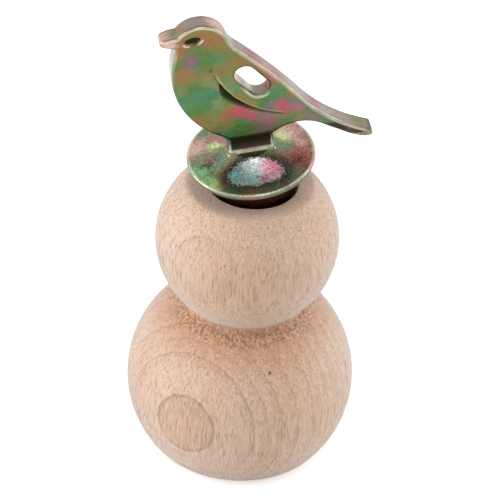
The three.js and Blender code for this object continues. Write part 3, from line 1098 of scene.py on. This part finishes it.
def crumb_tree():
    """Scatters small grains over a shell and keeps the shell."""
    tree, given = new_geometry_tree(
        "scattered_crumbs",
        (
            ("Crumbs", "NodeSocketInt"),
            ("Crumb Radius", "NodeSocketFloat"),
            ("Seed", "NodeSocketInt"),
            ("Material", "NodeSocketMaterial"),
        ),
    )
    area = tree.nodes.new("GeometryNodeInputMeshFaceArea").outputs[0]
    total = add_node(
        tree, "GeometryNodeAttributeStatistic", {"Geometry": given["Geometry"], "Attribute": area},
        domain="FACE",
    ).outputs["Sum"]
    density = calc(tree, "DIVIDE", given["Crumbs"], total)
    spots = add_node(
        tree,
        "GeometryNodeDistributePointsOnFaces",
        {"Mesh": given["Geometry"], "Density": density, "Seed": given["Seed"]},
    )
    grain = add_node(
        tree, "GeometryNodeMeshIcoSphere", {"Radius": given["Crumb Radius"], "Subdivisions": 1}
    )
    size = add_node(
        tree,
        "FunctionNodeRandomValue",
        {"Min": (0.4, 0.4, 0.4), "Max": (1.0, 1.0, 1.0), "Seed": given["Seed"]},
        data_type="FLOAT_VECTOR",
    )
    grains = add_node(
        tree,
        "GeometryNodeInstanceOnPoints",
        {
            "Points": spots.outputs["Points"],
            "Instance": grain.outputs["Mesh"],
            "Rotation": spots.outputs["Rotation"],
            "Scale": size.outputs["Value"],
        },
    )
    joined = tree.nodes.new("GeometryNodeJoinGeometry")
    tree.links.new(given["Geometry"], joined.inputs[0])
    tree.links.new(grains.outputs[0], joined.inputs[0])
    finish_tree(tree, joined.outputs[0], given["Material"])
    return tree


# Pieces.


def body_profile(step):
    """(radius, height) points from the drill's tip up the bore and down the outside to the base."""
    to_lower = LOWER_BALL_RADIUS + NECK_COVE
    to_upper = UPPER_BALL_RADIUS + NECK_COVE
    spacing = UPPER_CENTRE - LOWER_CENTRE
    rise = (spacing**2 + to_lower**2 - to_upper**2) / (2 * spacing)
    neck_x = math.sqrt(to_lower**2 - rise**2)
    neck_y = LOWER_CENTRE + rise
    base_radius = math.sqrt(LOWER_BALL_RADIUS**2 - LOWER_CENTRE**2)
    land_angle = bearing(0, UPPER_CENTRE, LAND_RADIUS, LAND_HEIGHT)
    land_angle -= math.degrees(LAND_EDGE_ROUND / UPPER_BALL_RADIUS)
    base_angle = bearing(0, LOWER_CENTRE, base_radius, 0)
    base_angle += math.degrees(BASE_EDGE_ROUND / LOWER_BALL_RADIUS)
    to_neck_upper = bearing(0, UPPER_CENTRE, neck_x, neck_y)
    to_neck_lower = bearing(0, LOWER_CENTRE, neck_x, neck_y)
    upper = arc((0, UPPER_CENTRE, UPPER_BALL_RADIUS, land_angle, to_neck_upper), step)
    cove = arc((neck_x, neck_y, NECK_COVE, 180 + to_neck_upper, 180 + to_neck_lower), step / 2)
    lower = arc((0, LOWER_CENTRE, LOWER_BALL_RADIUS, to_neck_lower, base_angle), step)
    floor_of_bore = LAND_HEIGHT - BORE_DEPTH
    mouth = LAND_HEIGHT - BORE_MOUTH_CHAMFER
    rim = (LAND_RADIUS - LAND_EDGE_ROUND, LAND_HEIGHT)
    points = [(0.0, floor_of_bore - BORE_TIP_DEPTH)]
    points += line(points[-1], (BORE_RADIUS, floor_of_bore), 1.2)
    points += line(points[-1], (BORE_RADIUS, mouth), 0.7)
    points += bend(
        points[-1],
        (BORE_RADIUS, LAND_HEIGHT),
        (BORE_RADIUS + BORE_MOUTH_CHAMFER, LAND_HEIGHT),
        3,
    )
    points += line(points[-1], rim, step)
    points += bend(rim, (LAND_RADIUS, LAND_HEIGHT), upper[0], 5)
    points += upper[1:] + cove[1:] + lower[1:]
    points += bend(lower[-1], (base_radius, 0), (base_radius - BASE_EDGE_ROUND, 0), 6)
    points += line(points[-1], (0.0, 0.0), 0.9)
    return points


def make_turned_body(settings):
    reel = REEL_RADIUS * MM
    profile = body_profile(settings.step / MM)
    spine = bpy.data.meshes.new("profile")
    places = [(radius * MM - reel, -height * MM, 0) for radius, height in profile]
    spine.from_pydata(places, [(i, i + 1) for i in range(len(places) - 1)], [])
    material = wood_finish(settings)
    mesh = grown_mesh(
        add_object("profile", spine),
        turning_tree(),
        {
            "Facets": settings.facets,
            "Reel Radius": reel,
            "Bore Shift": BORE_OFF_CENTRE * MM,
            "Bore Radius": (BORE_RADIUS + BORE_MOUTH_CHAMFER + 0.05) * MM,
            "Land Radius": (LAND_RADIUS - LAND_EDGE_ROUND) * MM,
            "Tool Mark Pitch": settings.tool_mark_pitch,
            "Tool Mark Depth": settings.tool_mark_depth,
            "Neck Height": NECK_HEIGHT * MM,
            "Torn Depth": settings.torn_depth,
            "Material": material,
        },
    )
    mesh.name = "wooden_body_turned"
    piece = add_object("wooden_body_turned", mesh)
    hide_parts("turned_body")
    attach(piece, "wooden_body")


def rosin_outer(depth):
    """Outer radius of the rosin at a depth below the bore's mouth."""
    return (LEAN_REACH - depth * lean_sine) / lean_cosine


def collar_radius(height):
    """Radius of the tapered collar at a height above the bore's mouth."""
    taper = math.tan(math.radians(PLUG_TAPER))
    return LEAN_REACH * lean_cosine + (height - LEAN_REACH * lean_sine) * taper


def bird_outline(step):
    """Closed outline of the bird, anticlockwise from the pedestal's right foot."""
    tail_bottom = (TAIL_TIP[0], TAIL_TIP[1] - TAIL_TIP[2])
    head = arc(HEAD, step)
    back = arc(BACK, step)
    points = [(PEDESTAL_HALF_WIDTH, PEDESTAL_FOOT)]
    points += line(points[-1], (PEDESTAL_HALF_WIDTH, PEDESTAL_TOP), step)
    points += arc(VENT, step)
    points += line(points[-1], TAIL_UNDERSIDE, step)
    points += bend(TAIL_UNDERSIDE, TAIL_BEND, tail_bottom, 8)
    points += arc(TAIL_TIP, step / 2)[1:]
    points += arc(RUMP, step)
    points += back
    points += bend(back[-1], NAPE, head[0], 8)
    points += head[1:]
    points += line(points[-1], BEAK_TOP, step)
    points += arc(BEAK_TIP, step / 2)
    points += line(points[-1], BEAK_ROOT, step)
    points += arc(BREAST, step)
    points += [(-PEDESTAL_HALF_WIDTH, PEDESTAL_TOP)]
    points += line(points[-1], (-PEDESTAL_HALF_WIDTH, PEDESTAL_FOOT), step)
    points += line(points[-1], points[0], step)[:-1]
    kept = [points[0]]
    for point in points[1:]:
        if math.dist(point, kept[-1]) > 0.02:
            kept.append(point)
    return kept


def slot_outline(step):
    x, y = CORD_SLOT
    tilt = CORD_SLOT_TILT
    along = CORD_SLOT_HALF_LENGTH * np.array(
        [math.cos(math.radians(tilt)), math.sin(math.radians(tilt))]
    )
    first = (x + along[0], y + along[1], CORD_SLOT_RADIUS, tilt - 90, tilt + 90)
    second = (x - along[0], y - along[1], CORD_SLOT_RADIUS, tilt + 90, tilt + 270)
    return arc(first, step) + arc(second, step)


def blade_plate(settings):
    """The bird as a plate with rounded edges and the cord slot, in the key's frame."""
    half = settings.thickness / MM / 2
    rounding = settings.edge_round / MM
    curve = bpy.data.curves.new("blade", "CURVE")
    curve.dimensions = "2D"
    curve.fill_mode = "BOTH"
    curve.extrude = half - rounding
    curve.bevel_depth = rounding
    curve.bevel_resolution = 3
    curve.offset = -rounding
    for outline in (bird_outline(0.4), slot_outline(0.3)):
        spline = curve.splines.new("POLY")
        spline.points.add(len(outline) - 1)
        for point, (x, y) in zip(spline.points, outline):
            point.co = (x, y, 0, 1)
        spline.use_cyclic_u = True
    holder = add_object("blade", curve)
    mesh = evaluated_mesh(holder)
    discard(holder)
    mesh.transform(Matrix.Translation((0, 0, FLANGE_HEIGHT)) @ Matrix.Rotation(math.pi / 2, 4, "X"))
    return mesh


def flange_profile():
    """Plug, collar and trumpet flange as (radius, height above the bore's mouth)."""
    edge = FLANGE_RADIUS - 0.35
    throat_height = FLANGE_HEIGHT - FLANGE_THROAT_DROP
    throat = collar_radius(throat_height)
    plug = [rosin_outer(d) - ROSIN_THICKNESS - CLEARANCE for d in (PLUG_LENGTH, ROSIN_TOP)]
    points = [(0.0, -PLUG_LENGTH), (plug[0] - PLUG_NOSE_ROUND, -PLUG_LENGTH)]
    points += [(plug[0], -PLUG_LENGTH + PLUG_NOSE_ROUND), (plug[1], -ROSIN_TOP)]
    points += [(plug[1], -COLLAR_DEPTH - CLEARANCE), (collar_radius(-COLLAR_DEPTH), -COLLAR_DEPTH)]
    points += [(throat, throat_height)]
    steps = 12
    for i in range(1, steps):
        t = i / steps
        rise = (FLANGE_THROAT_DROP - FLANGE_EDGE) * t**FLANGE_UNDER_FLARE
        points.append((throat + (edge - throat) * t, throat_height + rise))
    points += bend(
        (edge, FLANGE_HEIGHT - FLANGE_EDGE),
        (FLANGE_RADIUS, FLANGE_HEIGHT - FLANGE_EDGE),
        (FLANGE_RADIUS, FLANGE_HEIGHT - FLANGE_EDGE / 2),
        4,
    )
    points += bend(
        (FLANGE_RADIUS, FLANGE_HEIGHT - 0.1),
        (FLANGE_RADIUS, FLANGE_HEIGHT + FLANGE_RIM_RISE),
        (edge, FLANGE_HEIGHT + FLANGE_RIM_RISE),
        4,
    )
    for i in range(1, steps + 1):
        t = i / steps
        rise = FLANGE_RIM_RISE + (FLANGE_HUB_RISE - FLANGE_RIM_RISE) * t**FLANGE_TOP_FLARE
        points.append((edge + (FLANGE_HUB_RADIUS - edge) * t, FLANGE_HEIGHT + rise))
    points.append((0.0, FLANGE_HEIGHT + FLANGE_HUB_RISE))
    return points


def distance_to_outline(points, outline):
    """Distance of each point to a closed outline, in the outline's plane."""
    start = np.array(outline)
    way = np.roll(start, -1, axis=0) - start
    length = np.maximum((way**2).sum(1), TINY)
    nearest = np.full(len(points), np.inf)
    for a, d, size in zip(start, way, length):
        off = points - a
        share = np.clip(off @ d / size, 0, 1)
        nearest = np.minimum(nearest, ((off - share[:, None] * d) ** 2).sum(1))
    return np.sqrt(nearest)


def rough_cast(settings):
    """Blade and flange melted into one cast skin with small fillets, in the key's frame."""
    cast = bmesh.new()
    flange = turned_mesh("flange", flange_profile(), 160)
    for mesh in (blade_plate(settings), flange):
        cast.from_mesh(mesh)
        bpy.data.meshes.remove(mesh)
    bmesh.ops.remove_doubles(cast, verts=cast.verts, dist=1e-4)
    bmesh.ops.recalc_face_normals(cast, faces=cast.faces)
    mesh = bpy.data.meshes.new("cast")
    cast.to_mesh(mesh)
    cast.free()
    holder = add_object("cast", mesh)
    remesh = holder.modifiers.new("skin", "REMESH")
    remesh.mode = "VOXEL"
    remesh.voxel_size = settings.mesh_size / MM
    soften = holder.modifiers.new("fillets", "SMOOTH")
    soften.factor = 0.5
    soften.iterations = 5
    mesh = evaluated_mesh(holder)
    discard(holder)
    return mesh


def carve_bird(points, rises, settings):
    """Moves the cast skin's points to make its reliefs, and returns what the finish needs: the edge
    faces, and masks for painted highlights, painted dark reflections and painted shade.
    """
    half = settings.thickness / MM / 2
    x = points[:, 0]
    side = np.sign(points[:, 1])
    out = np.abs(points[:, 1])
    up = points[:, 2] - FLANGE_HEIGHT
    plan = np.stack([x, up], 1)
    to_edge = distance_to_outline(plan, bird_outline(0.4))
    to_slot = distance_to_outline(plan, slot_outline(0.3))
    blade = smoothstep(FLANGE_HUB_RISE, FLANGE_HUB_RISE + 0.6, up)
    face = smoothstep(half - 0.5, half - 0.2, out) * blade
    near_rim = np.minimum(to_edge, to_slot)

    wing_angle = np.degrees(np.arctan2(up - WING_EDGE[1], x - WING_EDGE[0]))
    past_wing = np.hypot(x - WING_EDGE[0], up - WING_EDGE[1]) - WING_EDGE[2]
    in_flank = FLANK[2] - np.hypot(x - FLANK[0], up - FLANK[1])
    pointed = WING_HOLLOW_WIDTH * smoothstep(WING_TIP_ANGLE, WING_FULL_ANGLE, wing_angle)
    pointed *= wing_angle < 0
    inside = np.minimum(in_flank, pointed - past_wing)
    crescent = smoothstep(0.0, 0.2, past_wing) * smoothstep(0.0, 0.45, inside)
    along_wing = smoothstep(WING_TIP_ANGLE - 4, WING_TIP_ANGLE + 2, wing_angle)
    along_wing *= smoothstep(-102, -108, wing_angle)
    ridge = narrow_line(past_wing, -0.18, 0.13) * along_wing
    crease = narrow_line(past_wing, 0.1, 0.16) * along_wing
    tilt = math.radians(EYE_TILT)
    eye_x = (x - EYE[0]) * math.cos(tilt) + (up - EYE[1]) * math.sin(tilt)
    eye_y = (up - EYE[1]) * math.cos(tilt) - (x - EYE[0]) * math.sin(tilt)
    eye = np.hypot(eye_x / EYE_HALF_LENGTH, eye_y / EYE_HALF_HEIGHT)
    eye_hole = smoothstep(1.05, 0.55, eye)
    dimple = smoothstep(1.0, 0.2, np.hypot(x - DIMPLE[0], up - DIMPLE[1]) / DIMPLE_RADIUS)
    scoop_off = np.abs(up - PEDESTAL_SCOOP_HEIGHT)
    scoop = np.sqrt(np.maximum(PEDESTAL_SCOOP_RADIUS**2 - scoop_off**2, 0))
    scoop = np.maximum(scoop - (PEDESTAL_SCOOP_RADIUS - PEDESTAL_SCOOP_DEPTH), 0)
    scoop *= smoothstep(PEDESTAL_HALF_WIDTH + 0.6, PEDESTAL_HALF_WIDTH, np.abs(x))
    slot_flare = SLOT_FLARE_DEPTH * smoothstep(0.5, 0.0, to_slot)

    depth = face * (
        settings.wing_step / MM * np.maximum(crescent, 0.35 * crease)
        + EYE_DEPTH * eye_hole
        + DIMPLE_DEPTH * dimple
        + slot_flare
        - 0.06 * ridge
    )
    depth += blade * smoothstep(0.6, 1.2, out) * scoop
    beak = np.clip((BEAK_TAPER_START - x) / BEAK_TAPER_LENGTH, 0, 1)
    rounded = BEAK_TIP_SHARE + (1 - BEAK_TIP_SHARE) * np.sqrt(1 - beak**2)
    points[:, 1] = side * (out - depth) * np.where(up > PEDESTAL_TOP, rounded, 1)

    edge_face = blade * smoothstep(0.3, 0.12, near_rim) * smoothstep(half - 0.1, half - 0.3, out)
    # Masks for painted light: highlight lines on the rims that face up, a dark reflection line
    # inside the upper edges, and highlights on the flange's lip, the eye's rim, the slot and the
    # pedestal.
    facing_up = smoothstep(-0.1, 0.45, rises)
    line_here = narrow_line(near_rim, RIM_LINE_INSET, 0.13) * smoothstep(
        half - 0.5, half - 0.2, out
    )
    dark_reflection_line = narrow_line(half - out, 0.42, 0.12) * smoothstep(0.35, 0.15, near_rim)
    radius = np.hypot(x, points[:, 1])
    lip = narrow_line(radius, FLANGE_RADIUS - 0.3, 0.16) * (np.abs(up - 0.1) < 0.35)
    eye_rim = narrow_line(eye, 1.1, 0.12) * face * 0.8
    eye_rim *= smoothstep(0.35, 0.6, np.abs(eye_x) / EYE_HALF_LENGTH) * smoothstep(0, -0.25, eye_y)
    on_slot = to_slot < to_edge
    slot_glint = narrow_line(to_slot, RIM_LINE_INSET, 0.12) * face
    slot_glint *= smoothstep(-1.2, -2.4, up - CORD_SLOT[1] + 0.4 * (x - CORD_SLOT[0]))
    upper_line = np.where(on_slot, 0, line_here * facing_up * blade)
    post_line = narrow_line(np.abs(x), PEDESTAL_HALF_WIDTH - 0.3, 0.14)
    post_line *= smoothstep(2.1, 2.5, up) * smoothstep(5.0, 4.3, up) * (out > 0.8)
    on_post = (np.abs(x) < PEDESTAL_HALF_WIDTH) & (out < 2)
    foot_line = narrow_line(up, FOOT_LINE_HEIGHT, 0.15) * on_post
    # Besides the edge faces and the flange's side, these are masks for painted highlight lines, the
    # wing's painted highlight, painted shade in the hollows and a painted dark reflection line.
    return {
        "edge_face": edge_face,
        "painted_highlight_line": np.clip(
            upper_line + 0.6 * lip + eye_rim + slot_glint + 0.7 * post_line + 0.6 * foot_line, 0, 1
        ),
        "wing_highlight": np.clip(ridge * face, 0, 1),
        "shaded_hollow": np.clip(face * (crescent + 1.2 * eye_hole + 0.6 * crease + 0.5 * dimple), 0, 1),
        "edge_dark_reflection": np.clip(dark_reflection_line * blade * np.where(on_slot, 0, facing_up), 0, 1),
        "flange_side": smoothstep(0.0, -0.15, up) * smoothstep(-1.1, -0.8, up),
    }


def make_bird_key(settings):
    mesh = rough_cast(settings)
    points = points_of(mesh)
    normals = np.empty(len(points) * 3, np.float32)
    mesh.vertices.foreach_get("normal", normals)
    marks = carve_bird(points, normals[2::3], settings)
    place_points(mesh, points)
    for name, values in marks.items():
        layer = mesh.attributes.new(name, "FLOAT", "POINT")
        layer.data.foreach_set("value", np.asarray(values, np.float32))
    mesh.transform(KEY_FRAME)
    for polygon in mesh.polygons:
        polygon.use_smooth = True
    mesh.name = "bird_key_cast"
    piece = add_object("bird_key_cast", mesh, chromate_finish(settings))
    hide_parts("bird_key")
    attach(piece, "key")


def rosin_profile(step):
    """Thin cup of rosin round the plug as (radius, height above the bore's mouth)."""
    inside = PLUG_LENGTH + CLEARANCE
    bottom = inside + ROSIN_THICKNESS
    skin = ROSIN_THICKNESS
    points = [(0.0, -bottom)]
    points += line(points[-1], (rosin_outer(bottom) - PLUG_NOSE_ROUND, -bottom), step)
    points += line(points[-1], (rosin_outer(inside), -inside + PLUG_NOSE_ROUND / 2), step)
    points += line(points[-1], (rosin_outer(ROSIN_TOP), -ROSIN_TOP), step)
    points += line(points[-1], (rosin_outer(ROSIN_TOP) - skin, -ROSIN_TOP), step)
    points += line(points[-1], (rosin_outer(inside) - skin, -inside + PLUG_NOSE_ROUND / 2), step)
    points += line(points[-1], (rosin_outer(inside) - skin - PLUG_NOSE_ROUND, -inside), step)
    points += line(points[-1], (0.0, -inside), step)
    return points


def make_rosin_coat(settings):
    mesh = turned_mesh("rosin", rosin_profile(0.3), 120)
    points = points_of(mesh)
    angle = np.arctan2(points[:, 1], points[:, 0])
    waves = 0.25 * np.sin(9 * angle) + 0.2 * np.sin(23 * angle + 1) + 0.2 * np.sin(41 * angle)
    ragged = 0.35 + waves
    top = smoothstep(-ROSIN_TOP - 0.7, -ROSIN_TOP, points[:, 2])
    points[:, 2] -= top * np.clip(ragged, 0, 0.9) * 0.5
    place_points(mesh, points)
    mesh.transform(KEY_FRAME)
    material = rosin_finish(settings)
    grown = grown_mesh(
        add_object("rosin", mesh),
        crumb_tree(),
        {
            "Crumbs": settings.crumbs,
            "Crumb Radius": settings.crumb_radius,
            "Seed": 7,
            "Material": material,
        },
    )
    grown.name = "rosin_crumbly_coat"
    piece = add_object("rosin_crumbly_coat", grown)
    for polygon in grown.polygons:
        polygon.use_smooth = True
    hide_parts("rosin_coat")
    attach(piece, "rosin")


# Stage.

FLOOR_GREY = 0.8
FLOOR_LIFT = 0.5
# Name, place in metres, size and power of each lamp. They all face the target.
LAMP_TARGET = (0, 0, 0.04)
LAMPS = (
    ("left_lamp", (-0.8, 0.1, 0.3), 0.7, 4.6),
    ("right_lamp", (0.8, 0.2, 0.3), 0.7, 3.8),
    ("top_lamp", (0.0, -0.25, 0.9), 0.5, 1.6),
)
CAMERA_PLACE = (-71.6, -339.6, 298.9)
CAMERA_RIGHT = (0.98368, -0.17407, 0.04546)
CAMERA_FORWARD = (0.16605, 0.78119, -0.60182)
CAMERA_SENSOR = 36


def seen_directly(tree):
    """1 for camera, glossy and transmission rays, 0 for the light that falls on things."""
    path = tree.nodes.new("ShaderNodeLightPath").outputs
    seen = calc(tree, "MAXIMUM", path["Is Camera Ray"], path["Is Glossy Ray"])
    return calc(tree, "MAXIMUM", seen, path["Is Transmission Ray"])


def make_floor(size):
    half = size / 2
    mesh = bpy.data.meshes.new("floor")
    corners = [(-half, -half, 0), (half, -half, 0), (half, half, 0), (-half, half, 0)]
    mesh.from_pydata(corners, [], [(0, 1, 2, 3)])
    material, tree, shader = new_material("pale_floor")
    tree.nodes.remove(shader)
    matt = add_node(tree, "ShaderNodeBsdfDiffuse", {"Color": with_alpha((FLOOR_GREY,) * 3)})
    lift = calc(tree, "MULTIPLY", seen_directly(tree), FLOOR_LIFT)
    glow = add_node(tree, "ShaderNodeEmission", {"Color": (1, 1, 1, 1), "Strength": lift})
    both = add_node(tree, "ShaderNodeAddShader", {0: matt.outputs[0], 1: glow.outputs[0]})
    tree.links.new(both.outputs[0], tree.nodes["Material Output"].inputs["Surface"])
    floor = add_object("floor", mesh, material)


def add_lamp(name, place, size, power):
    lamp = bpy.data.lights.new(name, "AREA")
    lamp.shape = "DISK"
    lamp.size = size
    lamp.energy = power
    holder = bpy.data.objects.new(name, lamp)
    holder.location = place
    way = Vector(LAMP_TARGET) - Vector(place)
    holder.rotation_euler = way.to_track_quat("-Z", "Y").to_euler()
    bpy.context.scene.collection.objects.link(holder)


def light_room(strength):
    scene = bpy.context.scene
    world = bpy.data.worlds.new("white_room")
    scene.world = world
    world.use_nodes = True
    tree = world.node_tree
    level = remap(tree, seen_directly(tree), 0, 1, strength, 1.0, smooth=False)
    background = tree.nodes["Background"]
    background.inputs["Color"].default_value = (1, 1, 1, 1)
    tree.links.new(level, background.inputs["Strength"])


def set_camera(lens):
    camera = bpy.data.cameras.new("camera")
    camera.lens = lens
    camera.sensor_width = CAMERA_SENSOR
    camera.clip_start = 0.01
    camera.clip_end = 20
    holder = bpy.data.objects.new("camera", camera)
    right = Vector(CAMERA_RIGHT).normalized()
    forward = Vector(CAMERA_FORWARD).normalized()
    up = right.cross(forward)
    place = Vector(CAMERA_PLACE) * MM
    turn = Matrix((right, up, -forward)).transposed()
    holder.matrix_world = Matrix.Translation(place) @ turn.to_4x4()
    bpy.context.scene.collection.objects.link(holder)
    bpy.context.scene.camera = holder


# Operators.


class BIRDCALL_OT_turned_body(bpy.types.Operator):
    """Turn the wooden body with its bore, growth rings and torn grain"""

    bl_idname = "birdcall.turned_body"
    bl_label = "Turned Body"

    def execute(self, context):
        make_turned_body(context.scene.birdcall_body)
        return {"FINISHED"}


class BIRDCALL_OT_rosin_coat(bpy.types.Operator):
    """Pack the crumbly rosin round the plug"""

    bl_idname = "birdcall.rosin_coat"
    bl_label = "Rosin Coat"

    def execute(self, context):
        make_rosin_coat(context.scene.birdcall_rosin)
        return {"FINISHED"}


class BIRDCALL_OT_bird_key(bpy.types.Operator):
    """Cast the bird key with its plug and flange"""

    bl_idname = "birdcall.bird_key"
    bl_label = "Bird Key"

    def execute(self, context):
        make_bird_key(context.scene.birdcall_key)
        return {"FINISHED"}


class BIRDCALL_OT_stage(bpy.types.Operator):
    """Lay the floor, hang the lamps and place the camera"""

    bl_idname = "birdcall.stage"
    bl_label = "Stage"

    def execute(self, context):
        settings = context.scene.birdcall_stage
        make_floor(settings.floor_size)
        light_room(settings.room)
        for lamp in LAMPS:
            add_lamp(*lamp)
        set_camera(settings.lens)
        context.scene.view_settings.view_transform = "Standard"
        return {"FINISHED"}


class BIRDCALL_PT_panel(bpy.types.Panel):
    """Lists the pieces of the bird call and their settings"""

    bl_idname = "BIRDCALL_PT_panel"
    bl_label = "Bird Call"
    bl_space_type = "VIEW_3D"
    bl_region_type = "UI"
    bl_category = "Bird Call"

    def draw(self, context):
        for operator, group in PIECES:
            box = self.layout.box()
            box.operator(operator.bl_idname)
            settings = getattr(context.scene, group)
            for name in settings.__annotations__:
                box.prop(settings, name)


PIECES = (
    (BIRDCALL_OT_turned_body, "birdcall_body"),
    (BIRDCALL_OT_rosin_coat, "birdcall_rosin"),
    (BIRDCALL_OT_bird_key, "birdcall_key"),
    (BIRDCALL_OT_stage, "birdcall_stage"),
)
GROUPS = (
    ("birdcall_body", WoodenBodySettings),
    ("birdcall_rosin", RosinCoatSettings),
    ("birdcall_key", BirdKeySettings),
    ("birdcall_stage", StageSettings),
)
CLASSES = (
    *(group for _, group in GROUPS),
    *(operator for operator, _ in PIECES),
    BIRDCALL_PT_panel,
)


def register():
    for made in CLASSES:
        bpy.utils.register_class(made)
    for name, group in GROUPS:
        setattr(bpy.types.Scene, name, PointerProperty(type=group))


def unregister():
    for name, _ in GROUPS:
        delattr(bpy.types.Scene, name)
    for made in reversed(CLASSES):
        bpy.utils.unregister_class(made)


def main():
    register()
    bpy.ops.birdcall.turned_body()
    bpy.ops.birdcall.rosin_coat()
    bpy.ops.birdcall.bird_key()
    bpy.ops.birdcall.stage()


if __name__ == "__main__":
    main()
